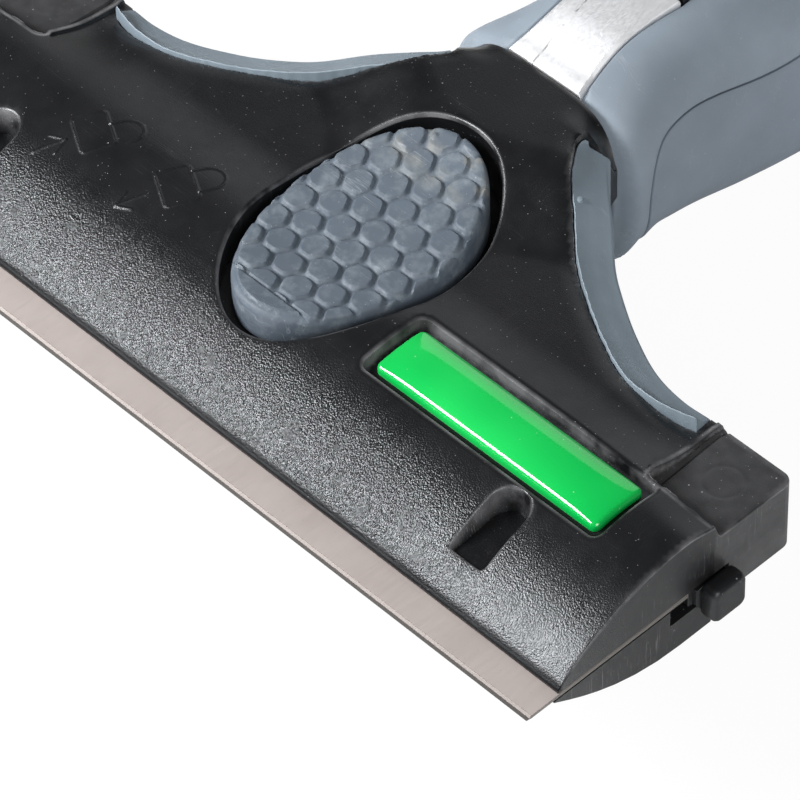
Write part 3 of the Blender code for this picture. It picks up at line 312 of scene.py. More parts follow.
@dataclass
class Sheet:
    """A flat region cut into triangles that follow its edges and guide lines."""

    loops: list[Array]
    guides: Lines
    spacing: float
    zones: list[Zone] = field(default_factory=list)
    points: Array = field(init=False)
    triangles: Array = field(init=False)

    def __post_init__(self) -> None:
        """Cut the region into triangles."""
        lines = [(loop, True) for loop in self.loops] + self.guides
        fixed, edges = self._gather(lines)
        filler = self._filler(fixed)
        every = [Vector((float(x), float(y))) for x, y in np.vstack([fixed, filler])]
        found = delaunay_2d_cdt(every, edges, [], 0, 1e-5, False)
        points = np.array([tuple(point) for point in found[0]])
        triangles = np.array(found[2], int)
        middle = points[triangles].mean(axis=1)
        keep = inside(middle, self.loops[0])
        for hole in self.loops[1:]:
            keep &= ~inside(middle, hole)
        a, b, c = (points[triangles[:, k]] for k in range(3))
        area = (b[:, 0] - a[:, 0]) * (c[:, 1] - a[:, 1]) - (b[:, 1] - a[:, 1]) * (c[:, 0] - a[:, 0])
        triangles[area < 0] = triangles[area < 0][:, ::-1]
        triangles = triangles[keep & (np.abs(area) > 1e-9)]
        used = np.unique(triangles)
        renumber = np.zeros(len(points), int)
        renumber[used] = np.arange(len(used))
        self.points, self.triangles = points[used], renumber[triangles]

    @staticmethod
    def _gather(lines: Lines) -> tuple[Array, list[tuple[int, int]]]:
        """Stack the lines' points and list their edges.

        Args:
            lines: Points of each line, and whether it is closed.

        Returns:
            All points, and two point indices for each edge.
        """
        points, edges, base = [], [], 0
        for line, closed in lines:
            count = len(line)
            points.append(line)
            edges += [(base + k, base + k + 1) for k in range(count - 1)]
            if closed:
                edges.append((base + count - 1, base))
            base += count
        return np.vstack(points), edges

    def _filler(self, fixed: Array) -> Array:
        """Return the free points between the lines.

        Args:
            fixed: Points of the lines.

        Returns:
            Points inside the outline that keep clear of the lines.
        """
        tree = KDTree(len(fixed))
        for index, (x, y) in enumerate(fixed):
            tree.insert((x, y, 0.0), index)
        tree.balance()
        parts = []
        whole = self.loops[0]
        layers = [Zone(whole, self.spacing)] + self.zones
        for index, zone in enumerate(layers):
            points = lattice(zone.loop.min(axis=0), zone.loop.max(axis=0), zone.spacing)
            keep = inside(points, whole)
            if index:
                keep &= inside(points, zone.loop)
            for finer in layers[index + 1 :]:
                keep &= ~inside(points, finer.loop)
            points = points[keep]
            far = [tree.find((x, y, 0.0))[2] > 0.55 * zone.spacing for x, y in points]
            parts.append(points[np.array(far, bool)])
        return np.vstack(parts)

    def rim(self) -> Array:
        """Return the directed edges that have a triangle on one side only.

        Returns:
            Two point indices a row.
        """
        edges = np.vstack([self.triangles[:, pair] for pair in ([0, 1], [1, 2], [2, 0])])
        key = np.sort(edges, axis=1)
        _, inverse, counts = np.unique(key, axis=0, return_inverse=True, return_counts=True)
        return edges[counts[inverse.ravel()] == 1]


@dataclass
class Body:
    """Vertices and faces of one piece, collected part by part."""

    vertices: list[Array] = field(default_factory=list)
    faces: list[tuple[int, ...]] = field(default_factory=list)
    count: int = 0

    def add(self, points: Array) -> int:
        """Add points and return the index of the first.

        Args:
            points: Points, one a row.

        Returns:
            Index of the first.
        """
        base = self.count
        self.vertices.append(np.asarray(points, float))
        self.count += len(points)
        return base

    def sheet(self, sheet: Sheet, top: Array, levels: list[Array], floor: Array | None = None) -> None:
        """Close a sheet into a solid with walls and an underside.

        Args:
            sheet: The triangulated region.
            top: The place of each of its points.
            levels: Places of the walls' rows, from the top down, for each of its points.
            floor: Places of a curved underside, or None for a flat one.
        """
        base = self.add(top)
        self.faces += [tuple(row) for row in (sheet.triangles + base).tolist()]
        rim = sheet.rim()
        used = np.unique(rim)
        place = np.full(len(sheet.points), -1)
        place[used] = np.arange(len(used))
        upper = np.arange(len(sheet.points)) + base
        for level in levels:
            start = self.add(level[used])
            lower = np.where(place >= 0, place + start, -1)
            start_side, end_side = rim.T
            wall = [upper[end_side], upper[start_side], lower[start_side], lower[end_side]]
            quads = np.stack(wall, axis=1)
            self.faces += [tuple(row) for row in quads.tolist()]
            upper = lower
        if floor is None:
            self._flat_underside(rim, upper, levels[-1])
            return
        start = self.add(floor)
        under = np.arange(len(sheet.points)) + start
        under[used] = upper[used]
        self.faces += [tuple(row) for row in under[sheet.triangles[:, ::-1]].tolist()]

    def _flat_underside(self, rim: Array, lower: Array, level: Array) -> None:
        """Close the walls' lowest row with flat triangles.

        Args:
            rim: The sheet's directed edges that have one triangle only.
            lower: The index in the body of each point of the lowest row.
            level: The places of the lowest row.
        """
        used = np.unique(rim)
        place = np.full(len(lower), -1)
        place[used] = np.arange(len(used))
        flat = level[used][:, :2]
        edges = [(int(place[a]), int(place[b])) for a, b in rim]
        found = delaunay_2d_cdt([Vector(p) for p in flat.tolist()], edges, [], 0, 1e-6, True)
        origin = [ids[0] if ids else -1 for ids in found[3]]
        middles = np.array([[sum(found[0][v][k] for v in face) / 3 for k in (0, 1)] for face in found[2]])
        keep = np.zeros(len(middles), bool)
        for a, b in rim:
            (x0, y0), (x1, y1) = level[a][:2], level[b][:2]
            if y0 != y1:
                straddles = (y0 > middles[:, 1]) != (y1 > middles[:, 1])
                keep ^= straddles & (middles[:, 0] < (x1 - x0) * (middles[:, 1] - y0) / (y1 - y0) + x0)
        for face, wanted in zip(found[2], keep):
            ids = [origin[v] for v in face]
            if wanted and min(ids) >= 0:
                self.faces.append(tuple(int(lower[used[k]]) for k in reversed(ids)))

    def loft(self, rings: Sequence[Array], capped: bool = True) -> None:
        """Skin equal closed rings and cap both ends.

        Args:
            rings: Closed rings of as many points each.
            capped: Whether both ends are closed.
        """
        bases = [self.add(ring) for ring in rings]
        count = len(rings[0])
        for first, second in zip(bases, bases[1:]):
            for k in range(count):
                after = (k + 1) % count
                self.faces.append((first + k, first + after, second + after, second + k))
        if capped:
            self.faces.append(tuple(bases[0] + k for k in reversed(range(count))))
            self.faces.append(tuple(bases[-1] + k for k in range(count)))

    def make(
        self,
        name: str,
        material: Material,
        sharp: float = 35.0,
        weld: float = 0.0,
        rim_wear_and_highlight: Array | None = None,
    ) -> Piece:
        """Turn the collected faces into an object in the row frame.

        Args:
            name: The object's name.
            material: Its finish.
            sharp: Angle in degrees above which an edge stays sharp.
            weld: Distance in millimetres below which points are joined, or 0.
            rim_wear_and_highlight: Closeness of the first points to a rubbed rim that also gets a painted
                highlight, from 0 to 1, or None.

        Returns:
            The new object.
        """
        points = (np.vstack(self.vertices) + ORIGIN) * MM
        mesh = bpy.data.meshes.new(name)
        mesh.from_pydata(points.tolist(), [], self.faces)
        mesh.validate()
        # Store each point's rim share: rubbed rims that also carry a painted edge highlight.
        if rim_wear_and_highlight is not None:
            values = np.zeros(len(points))
            values[: len(rim_wear_and_highlight)] = rim_wear_and_highlight
            mesh.attributes.new("rim_wear_and_highlight", "FLOAT", "POINT").data.foreach_set("value", values)
        finish_normals(mesh, weld * MM)
        mesh.shade_smooth()
        mesh.set_sharp_from_angle(angle=math.radians(sharp))
        mesh.materials.append(material)
        item = bpy.data.objects.new(name, mesh)
        bpy.context.scene.collection.objects.link(item)
        return item


def finish_normals(mesh: bpy.types.Mesh, weld: float) -> None:
    """Join doubled points and turn every face outwards.

    Args:
        mesh: Mesh to mend.
        weld: Distance up to which points are joined.
    """
    bm = bmesh.new()
    bm.from_mesh(mesh)
    if weld:
        bmesh.ops.remove_doubles(bm, verts=bm.verts, dist=weld)
    bmesh.ops.recalc_face_normals(bm, faces=bm.faces)
    bm.to_mesh(mesh)
    bm.free()


# ---------------------------------------------------------------- the head's forms


@dataclass(frozen=True)
class HeadForm:
    """The head's upper surface and its outline, as the CAD source draws them.

    A span is where a blend starts and how long it is. The neck's start and end each have
    a place in the middle and how much later it is at the sides. The flank's points are
    shares of half the width and of the neck's place.
    """

    half_width: float = 50.0
    lip_y: float = -14.1
    lip_height: float = 0.4
    crest_y: float = 2.4
    dome_rise: float = 6.6
    dome_power: float = 0.9
    saddle_drop: float = 1.0
    saddle_length: float = 8.6
    neck_climb: float = 3.8
    neck_lag_half: float = 18.0
    neck_from: Pair = (7.5, 11.5)
    neck_to: Pair = (24.8, 6.2)
    neck_end_y: float = 33.8
    neck_flat_half: float = 3.2
    neck_side: float = 6.7
    neck_side_drop: float = 7.4
    neck_side_span: Pair = (30.3, 3.5)
    wing_drop: float = 1.25
    wing_across: Pair = (31.0, 9.0)
    wing_along: Pair = (4.0, 9.0)
    wing_end: Pair = (44.5, -2.0)
    tip_drop: float = 0.35
    tip_across: Pair = (42.0, 8.0)
    tip_along: Pair = (2.0, 3.6)
    ear_inner_x: float = 40.9
    ear_front_y: float = 5.6
    ear_rear_y: float = 15.95
    ear_corner: float = 1.2
    ear_top: float = 4.65
    flank: tuple[Pair, ...] = (
        (0.790, 0.477), (0.718, 0.474), (0.636, 0.497), (0.544, 0.559), (0.452, 0.639),
        (0.398, 0.695), (0.330, 0.787), (0.266, 0.867), (0.222, 0.932), (0.203, 1.000),
    )

    def top(self, x: Array, y: Array) -> Array:
        """Height of the upper surface before its hollows.

        Args:
            x: Places across.
            y: Places along.

        Returns:
            Heights.
        """
        away = np.abs(x)
        dome = arch((y - self.lip_y) / (self.crest_y - self.lip_y), self.dome_power)
        saddle = ease((y - self.crest_y) / self.saddle_length)
        height = self.lip_height + self.dome_rise * dome - self.saddle_drop * saddle
        height = height + self.neck_climb * self.neck_rise(x, y)
        aside = np.clip((away - self.neck_flat_half) / self.neck_side, 0.0, 0.995)
        rounding = (1 - (1 - aside**2.5) ** 0.4) * blend(y, self.neck_side_span)
        wing = blend(away, self.wing_across) * blend(y, self.wing_along) * blend(away, self.wing_end)
        tip = blend(away, self.tip_across) * blend(y, self.tip_along)
        return height - self.neck_side_drop * rounding - self.wing_drop * wing - self.tip_drop * tip

    def neck_rise(self, x: Array | float, y: Array | float) -> Array:
        """Rise of the neck from 0 to 1, later towards the sides.

        Args:
            x: Places across.
            y: Places along.

        Returns:
            Shares of the neck's height.
        """
        lag = ease(np.abs(x) / self.neck_lag_half)
        start = self.neck_from[0] + self.neck_from[1] * lag
        return ease((y - start) / (self.neck_to[0] + self.neck_to[1] * lag - start))

    def flank_curve(self) -> Array:
        """Return the right flank from the ear to the neck."""
        points = np.array([(x * self.half_width, y * self.neck_end_y) for x, y in self.flank])
        return smooth_curve(points, 0.35)

    def outline(self) -> Array:
        """Return the head's outline from above, anticlockwise.

        Returns:
            Points of the closed outline.
        """
        right = np.vstack([
            [(self.half_width, self.lip_y)],
            arc(
                (self.half_width - self.ear_corner, self.ear_rear_y - self.ear_corner),
                self.ear_corner,
                0,
                90,
                9,
            ),
            [(self.ear_inner_x, self.ear_rear_y)],
            self.flank_curve(),
        ])
        return resample(np.vstack([right, right[::-1] * (-1, 1)]), 0.4, True)


def egg(half_wide: float, half_long: float, centre: Sequence[float], count: int = 220) -> Array:
    """Return an egg-shaped outline, blunter behind.

    Args:
        half_wide: Half its width.
        half_long: Half its length.
        centre: Its middle.
        count: Number of points.

    Returns:
        Points of the closed outline.
    """
    angle = np.arange(count) * 2 * math.pi / count
    wide = half_wide * np.cos(angle) * (1 + 0.05 * np.sin(angle))
    return np.stack([centre[0] + wide, centre[1] + half_long * np.sin(angle)], axis=1)


@dataclass
class UpperShell:
    """The black moulded top of the head."""

    form: HeadForm
    button: Pair = (1.0, 8.7)
    pocket_size: Pair = (10.7, 15.3)
    cavity_size: Pair = (12.5, 17.1)
    cavity_centre: Pair = (1.0, 10.0)
    badge_low: Pair = (13.1, -2.8)
    badge_high: Pair = (43.4, 5.4)
    badge_depth: float = 1.3
    badge_corner: float = 0.9
    notch_x: float = 34.9
    notch_half: float = 2.1
    notch_back: float = -5.3
    notch_front: float = -10.1
    band: float = 3.54
    band_end: float = 32.0
    sign_places: tuple[Pair, ...] = ((-26.9, 0.3), (-15.6, 0.9))
    sign_turn: float = 0.5
    sign_size: float = 1.25
    sign_zone: tuple[Pair, Pair] = ((-33.0, -7.0), (-8.5, 7.0))
    sign_spacing: float = 0.13
    sign_rise: float = 0.09
    sign_flat: float = 0.04
    sign_slope: float = 0.13
    pin: Pair = (45.7, 11.2)
    pin_radius: float = 1.95
    edge: float = 0.2
    fine_edge: float = 0.05
    pocket_edge: float = 0.4
    spacing: float = 0.45
    step_guides: tuple[float, ...] = (-0.95, -0.82, -0.68, -0.4, -0.12, 0.0, 0.15, 0.3, 0.5, 0.75, 1.0)
    brink: float = 0.12
    jaw_z: float = 0.2
    cavity_top: float = 3.6
    wall_end: float = 0.15
    crease_slopes: tuple[Pair, ...] = ((0.16, 1.6), (0.12, 0.9))
    shelf_wall: float = 0.6
    shelf_inner_wall: float = 0.3
    groove_depth: float = 0.25
    groove_half: float = 0.25
    ring_depth: float = 0.035
    ring_half: float = 0.14
    badge_chamfer: Pair = (0.25, 0.4)
    notch_edge: float = 0.28
    notch_wall: float = 0.3
    recess_floor: float = 2.2
    recess_climb: float = 2.6
    recess_low: float = 0.4
    recess_low_width: float = 1.75

    def badge_line(self) -> Array:
        """Return the outline of the badge's recess."""
        return resample(rounded_rectangle(self.badge_low, self.badge_high, self.badge_corner), 0.35, True)

    def notch_line(self, side: int) -> Array:
        """Return the outline of one finger notch.

        Args:
            side: -1 for the left and 1 for the right.

        Returns:
            Points of the closed outline.
        """
        half, corner = self.notch_half, 0.5
        points = np.vstack([
            arc((self.notch_x, self.notch_back), half, 0, 180, 25),
            arc((self.notch_x - half + corner, self.notch_front), corner, 180, 270, 6),
            arc((self.notch_x + half - corner, self.notch_front), corner, 270, 360, 6),
        ])
        return resample(on_side(points, side), 0.3, True)

    def step_line(self, side: int) -> Array:
        """Return the line round one ear's lowered shelf, closed outside the head.

        Args:
            side: -1 for the left and 1 for the right.

        Returns:
            Points of the closed outline.
        """
        inner, front = self.form.ear_inner_x - 0.35, self.form.ear_front_y
        line = np.vstack([
            [(52.0, front), (52.0, 19.0), (41.9, 19.0), (inner + 0.5, 15.0)],
            arc((inner + 1.5, front + 0.9), 0.7, 180, 270, 7),
        ])
        return resample(on_side(line, side), 0.35, True)

    def flank_line(self, side: int, spare: float = 0.12) -> Array:
        """Return the outline of one flank grip's recess, closed outside the head.

        Args:
            side: -1 for the left and 1 for the right.
            spare: Room left round the rubber.

        Returns:
            Points of the closed outline.
        """
        curve, inward, _, band = self.flank_bands()
        inner = curve + inward * (band + spare)[:, None]
        ahead = (curve[-1] - curve[-2]) / np.linalg.norm(curve[-1] - curve[-2]) * spare
        tips = [curve[-1] + ahead + inward[-1] * (band[-1] - 0.1), curve[-1] + ahead - inward[-1] * 2.0]
        back = [curve[0] - inward[0] * 2.0, curve[0] + inward[0] * (band[0] + spare)]
        line = np.vstack([inner, tips, back])
        return resample(on_side(line, side), 0.35, True)

    def flank_bands(self) -> tuple[Array, Array, Array, Array]:
        """Lay out the rubber along the right flank, from the ear to the neck.

        Returns:
            Places on the flank, directions inwards, lengths along it and the rubber's widths.
        """
        curve = self.form.flank_curve()
        last = int(np.argmin(np.abs(curve[:, 1] - self.band_end)))
        curve = resample(curve[: last + 1], 0.25, False)
        inward = offset_line(curve, 1.0, False) - curve
        inward /= np.linalg.norm(inward, axis=1, keepdims=True)
        steps = np.linalg.norm(np.diff(curve, axis=0), axis=1)
        along = np.concatenate([[0.0], np.cumsum(steps)])
        left = along[-1] - along
        at_neck = 0.25 * np.clip(1 - left / 5.5, 0, 1) ** 1.6 + 0.12 * np.clip(1 - left / 0.6, 0, 1) ** 2
        at_ear = 0.42 * np.clip(1 - along / 8.0, 0, 1) ** 1.4
        flash = 0.02 * np.sin(along * 2.1) + 0.015 * np.sin(along * 5.3 + 1)
        flash = flash + 0.03 * np.sin(along * 3.1) * np.clip(1 - left / 6.0, 0, 1)
        return curve, inward, along, self.band * (1 - at_neck - at_ear) + flash

    def marks(self) -> Lines:
        """Return the moulded signs on the left: an open lock and a shut lock, with an arrow each.

        Returns:
            Points of each line, and whether it is closed.
        """
        lines: Lines = []
        cosine, sine = math.cos(self.sign_turn), math.sin(self.sign_turn)
        turn = np.array([(cosine, -sine), (sine, cosine)])
        for centre, opened in zip(self.sign_places, (True, False)):
            for line, closed in self._sign(opened):
                turned = line @ turn * self.sign_size
                lines.append((resample(turned + centre, 0.25, closed), closed))
        return lines

    @staticmethod
    def _sign(opened: bool) -> Lines:
        """Return one sign's lines about its own middle.

        Args:
            opened: Whether the lock is open and the arrow points to it.

        Returns:
            The lines, each with whether it closes: the lock's body, its bow, the shaft and the head.
        """
        body = rounded_rectangle((-1.9, -1.5), (1.9, 1.3), 0.35)
        tilt = 0.9 if opened else 0.0
        foot, tip = (-5.0, -2.3) if opened else (-2.3, -5.0)
        barb = -3.4 if opened else -3.9
        bow = np.vstack([
            [(-1.2 + tilt, 1.3)],
            arc((tilt, 2.5), 1.2, 180, 0, 11),
            [(1.2 + tilt, 1.3 + tilt * 0.8)],
        ])
        shaft = np.array([(0.0, foot), (0.0, tip)])
        head = np.array([(-0.9, barb), (0.0, tip), (0.9, barb)])
        return [(body, True), (bow, False), (shaft, False), (head, False)]

    def height(self, points: Array) -> Array:
        """Height of the finished upper surface.

        Args:
            points: Places seen from above.

        Returns:
            One height per place.
        """
        x, y = points.T
        form = self.form
        z = form.top(x, y)
        z = self._flank_creases(points, z)
        z = self._ears(points, z)
        z = self._badge_recess(points, z)
        z = self._notches(points, z)
        z = self._flank_recess(points, z)
        rim = line_distance(points, form.outline(), 0.5)
        size = self.fine_edge + (self.edge - self.fine_edge) * ease((y - form.lip_y) / 2)
        size = size - 0.12 * ease((y - 33.0) / 0.6) * ease((10.6 - np.abs(x)) / 0.3)
        z = z - round_drop(rim, size)
        pocket = line_distance(points, egg(*self.pocket_size, self.button), 0.6)
        z = z - round_drop(pocket, self.pocket_edge)
        for line, closed in self.marks():
            near = line_distance(points, line, 0.5, closed)
            z = z + self.sign_rise * ease(1 - (near - self.sign_flat) / self.sign_slope)
        return z

    def _flank_creases(self, points: Array, z: Array) -> Array:
        """Turn the surface down towards the flank grips in two creases.

        Args:
            points: Places, one a row.
            z: Heights before this step.

        Returns:
            Heights after it.
        """
        for side in (-1, 1):
            line = self.flank_line(side)
            away = line_distance(points, line, 2.0)
            for drop, width in self.crease_slopes:
                z = z - drop * np.clip(1 - away / width, 0, 1)
        return z

    def _ears(self, points: Array, z: Array) -> Array:
        """Lower the ears to their shelves, with the small ledge at the inner side.

        Args:
            points: Places, one a row.
            z: Heights before this step.

        Returns:
            Heights after it.
        """
        x, y = points.T
        shelf = self.form.ear_top + 0 * x
        for side in (-1, 1):
            line = self.step_line(side)
            away = line_distance(points, line, 1.5)
            within = inside(points, line)
            depth = np.where(within, away, -away)
            inner_side = np.abs(x) < self.form.ear_inner_x + 1.2
            wall = np.where(inner_side, self.shelf_inner_wall, self.shelf_wall)
            level = np.where(depth > 0, z + (shelf - z) * np.clip(depth / wall, 0, 1), z)
            groove = self.groove_depth * ease(1 - np.abs(depth - 0.5) / self.groove_half)
            groove = groove * inner_side * within
            rib = 0.3 * ease((0.42 - np.abs(depth + 0.4)) / 0.14) * inner_side * ease((y - 6.4) / 0.5)
            level = level - groove + rib - np.where(within, 0, round_drop(away, 0.2))
            z = level
            ring = np.hypot(x - side * self.pin[0], y - self.pin[1])
            z = z - self.ring_depth * ease(1 - np.abs(ring - self.pin_radius) / self.ring_half)
        return z

    def _badge_recess(self, points: Array, z: Array) -> Array:
        """Sink the badge's recess, with a small chamfer round it.

        Args:
            points: Places, one a row.
            z: Heights before this step.

        Returns:
            Heights after it.
        """
        line = self.badge_line()
        away = line_distance(points, line, 1.0)
        within = inside(points, line)
        depth = np.where(within, away, 0.0)
        rim, width = self.badge_chamfer
        chamfer = rim * np.clip(1 - away / width, 0, 1)
        sunk = rim + (self.badge_depth - rim) * np.clip(depth / 0.08, 0, 1)
        return np.where(within, z - sunk, z - chamfer)

    def _notches(self, points: Array, z: Array) -> Array:
        """Sink the finger notches to their sloping floors.

        Args:
            points: Places, one a row.
            z: Heights before this step.

        Returns:
            Heights after it.
        """
        y = points[:, 1]
        floor = 3.35 + 0.115 * (y + 3.2)
        for side in (-1, 1):
            line = self.notch_line(side)
            away = line_distance(points, line, 1.0)
            within = inside(points, line)
            edge = z - round_drop(away, self.notch_edge)
            wall = np.clip(away / self.notch_wall, 0, 1)
            sunk = np.minimum(edge, z - self.notch_edge + (floor - z + self.notch_edge) * wall)
            z = np.where(within, sunk, edge)
        return z

    def _flank_recess(self, points: Array, z: Array) -> Array:
        """Cut the recesses that the flank grips lie in.

        Args:
            points: Places, one a row.
            z: Heights before this step.

        Returns:
            Heights after it.
        """
        for side in (-1, 1):
            line = self.flank_line(side)
            away = line_distance(points, line, 0.6)
            within = inside(points, line)
            flank = self.form.flank_curve() * (side, 1)
            depth = line_distance(points, flank, 5.0, False)
            climb = self.form.neck_rise(self.form.neck_lag_half, points[:, 1])
            floor = self.recess_floor + self.recess_climb * climb
            floor = np.where(depth < self.recess_low_width, self.recess_low, floor)
            sunk = z + (floor - z) * np.clip(away / 0.1, 0, 1)
            z = np.where(within, np.minimum(sunk, z), z - round_drop(away, 0.1))
        return z

    def rim_wear_and_highlight(self, points: Array) -> Array:
        """Return how close points lie to the rims that are painted paler, partly as rubbing and partly as a
        painted edge highlight, from 0 to 1.

        Args:
            points: Places, one a row.

        Returns:
            Shares of rim rubbing and painted highlight.
        """
        wide = [egg(*self.pocket_size, self.button), self.badge_line(), self.form.outline()]
        wide += [self.notch_line(-1), self.notch_line(1)]
        fine = [self.step_line(-1), self.step_line(1), self.flank_line(-1), self.flank_line(1)]
        fine += [offset_line(self.step_line(side), -0.4, True) for side in (-1, 1)]
        share = np.zeros(len(points))
        for lines, reach in ((wide, 0.3), (fine, 0.14)):
            for line in lines:
                share = np.maximum(share, np.clip(1 - line_distance(points, line, 0.5) / reach, 0, 1))
        return share * ease((points[:, 1] + 13.9) / 0.4)

    def sheet(self) -> Sheet:
        """Cut the head's plan into triangles along its features.

        Returns:
            The triangles of the plan, with its openings left out.
        """
        outline = self.form.outline()
        pocket = egg(*self.pocket_size, self.button)
        guides = follow(outline, (0.04, 0.1, 0.2))
        for distance in (0.05, 0.13, 0.25, 0.4):
            grown = egg(self.pocket_size[0] + distance, self.pocket_size[1] + distance, self.button)
            guides.append((grown, True))
        guides += follow(self.badge_line(), (-0.4, 0.0, 0.08))
        for side in (-1, 1):
            guides += follow(self.notch_line(side), (-0.28, -0.12, -0.04, 0.0, 0.3))
            guides += follow(self.step_line(side), self.step_guides)
            guides += follow(self.flank_line(side), (-1.6, -0.9, -0.3, 0.0, 0.1))
            centre = (side * self.pin[0], self.pin[1])
            for radius in (self.pin_radius - 0.15, self.pin_radius, self.pin_radius + 0.15):
                guides.append((arc(centre, radius, 0, 354, 60), True))
        guides += self.marks()
        zone = Zone(rounded_rectangle(*self.sign_zone, 1.0), self.sign_spacing)
        return Sheet([outline, pocket], guides, self.spacing, [zone])

    def build(self, material: Material) -> Piece:
        """Build the shell and let it stand for its CAD node.

        Args:
            material: Finish of the piece.

        Returns:
            The new piece.
        """
        sheet = self.sheet()
        points = sheet.points
        body = Body()
        top = np.column_stack([points, self.height(points)])
        away = np.linalg.norm((points - self.button) / self.pocket_size, axis=1)
        hole = away < 1.08
        brink, mid, low = top.copy(), top.copy(), top.copy()
        brink[:, 2] -= self.brink
        mid[:, 2] = np.where(hole, self.cavity_top, self.jaw_z)
        grown = (points - self.button) / self.pocket_size * self.cavity_size + self.cavity_centre
        ledge = mid.copy()
        ledge[hole, :2] = grown[hole]
        low[:, :2] = ledge[:, :2]
        low[:, 2] = np.where(hole, self.jaw_z, self.wall_end)
        body.sheet(sheet, top, [brink, mid, ledge, low])
        self._ear_blocks(body)
        LOG.info("upper shell: %d faces", len(body.faces))
        return body.make("upper_shell_skin", material, 38.0, rim_wear_and_highlight=self.rim_wear_and_highlight(points))

    def _ear_blocks(self, body: Body) -> None:
        """Add the ears' lower halves behind the carriage's channel.

        Args:
            body: Body that they are added to.
        """
        form = self.form
        corner = form.ear_corner
        for side in (-1, 1):
            line = np.vstack([
                [(form.half_width, 7.5)],
                arc((form.half_width - corner, form.ear_rear_y - corner), corner, 0, 90, 9),
                [(form.ear_inner_x, form.ear_rear_y), (form.ear_inner_x, 7.5)],
            ])
            rings = []
            for inset, z in ((0.0, self.wall_end), (0.0, -3.6), (0.06, -3.74), (0.2, -3.8)):
                ring = on_side(offset_line(line, inset, True), side)
                rings.append(np.column_stack([ring, np.full(len(ring), z)]))
            body.loft(rings)


# ---------------------------------------------------------------- rubber and badge


@dataclass
class ThumbPad:
    """The rubber pad with its hexagonal bosses and the raised lip in front."""

    centre: Pair = (1.0, 8.7)
    size: Pair = (9.5, 14.1)
    edge: float = 0.9
    pitch: Pair = (2.91, 3.36)
    first: Pair = (-0.6, 7.9)
    rise: float = 0.38
    corner: float = 0.15
    lip_y: float = -2.7
    lip_rise: float = 0.36
    crack: Pair = (5.5, -3.4)
    nub: Pair = (-1.35, 20.9)
    nub_radius: float = 0.5
    nub_rise: float = 0.25
    spacing: float = 0.16
    low: float = 3.6
    base_curve: tuple[float, float, float] = (1.8, 1.0, 6.7)

    def base(self, points: Array) -> Array:
        """Height of the pad under its bosses."""
        long = (points[:, 1] - self.centre[1]) / self.size[1]
        bend, tilt, middle = self.base_curve
        return middle + bend * long**2 + tilt * long

    def boss(self, points: Array) -> Array:
        """Height of the bosses above the base, from 0 to 1.

        Args:
            points: Places, one a row.

        Returns:
            Shares of the bosses' height.
        """
        x, y = points.T
        stack = self._near_centres(x, y)
        own = stack[0]
        crowd = np.zeros(len(x))
        for other in stack[1:5]:
            apart = np.hypot(*(other[1:] - own[1:]))
            margin = (other[0] ** 2 - own[0] ** 2) / (2 * np.maximum(apart, 1e-6))
            crowd += np.exp(-margin / self.corner)
        margin = -self.corner * np.log(crowd)
        wobble = 0.05 * np.sin(own[1] * 2.3 + own[2] * 1.7)
        return ease((margin - 0.12 - wobble) / 0.24)

    def _near_centres(self, x: Array, y: Array) -> Array:
        """Return the lattice's nine centres round each place, the nearest first.

        Args:
            x: Places across the pad.
            y: Places along the pad.

        Returns:
            Distance, X and Y of each centre, for every place.
        """
        column = np.round((x - self.first[0]) / self.pitch[0])
        nearest: list[Array] = []
        for shift in (-1, 0, 1):
            near_column = column + shift
            centre_x = self.first[0] + near_column * self.pitch[0]
            stagger = np.abs(near_column % 2) * self.pitch[1] / 2
            row = np.round((y - self.first[1] - stagger) / self.pitch[1])
            for step in (-1, 0, 1):
                centre_y = self.first[1] + stagger + (row + step) * self.pitch[1]
                nearest.append(np.stack([np.hypot(x - centre_x, y - centre_y), centre_x, centre_y]))
        stack = np.stack(nearest)
        order = np.argsort(stack[:, 0], axis=0)
        return np.take_along_axis(stack, order[:, None].repeat(3, axis=1), axis=0)

    def height(self, points: Array) -> Array:
        """Height of the pad's finished top.

        Args:
            points: Places, one a row.

        Returns:
            Heights.
        """
        x, y = points.T
        outline = egg(*self.size, self.centre)
        away = line_distance(points, outline, 6.0)
        base = self.base(points)
        behind = ease((y - self.lip_y) / 0.16)
        z = base + self.rise * self.boss(points) * behind * ease((away + 0.05) / 0.35)
        lip = ease((self.lip_y - 0.06 - y) / 0.14) * ease((x + 3.8) / 0.9) * ease((5.45 - x) / 0.14)
        z = z + self.lip_rise * lip * ease((away - 0.6) / 0.16)
        crack = np.abs(x - self.crack[0]) + 0.5 * np.abs(y - self.crack[1])
        z = z - 0.25 * ease(1 - crack / 0.3) - round_drop(away, self.edge)
        nub = np.hypot(x - self.nub[0], y - self.nub[1])
        return z + self.nub_rise * ease(1 - nub / self.nub_radius)

    def build(self, material: Material) -> Piece:
        """Build the pad.

        Args:
            material: Finish of the piece.

        Returns:
            The new piece.
        """
        outline = egg(*self.size, self.centre)
        insets = (0.03, 0.09, 0.2, 0.36)
        guides = [(egg(self.size[0] - d, self.size[1] - d, self.centre), True) for d in insets]
        front = egg(self.size[0] - 0.6, self.size[1] - 0.6, self.centre)
        for grow in (0.0, -0.16):
            loop = offset_line(front, -grow, True)
            guides.append((loop[loop[:, 1] < self.lip_y + 0.5], False))
        for y in (self.lip_y, self.lip_y - 0.07, self.lip_y - 0.2):
            guides.append((resample(np.array([(-4.5, y), (6.2, y)]), 0.3, False), False))
        sheet = Sheet([outline], guides, self.spacing)
        top = np.column_stack([sheet.points, self.height(sheet.points)])
        low = top.copy()
        low[:, 2] = self.low
        body = Body()
        body.sheet(sheet, top, [low])
        LOG.info("thumb pad: %d faces", len(body.faces))
        return body.make("thumb_pad_skin", material, 50.0)


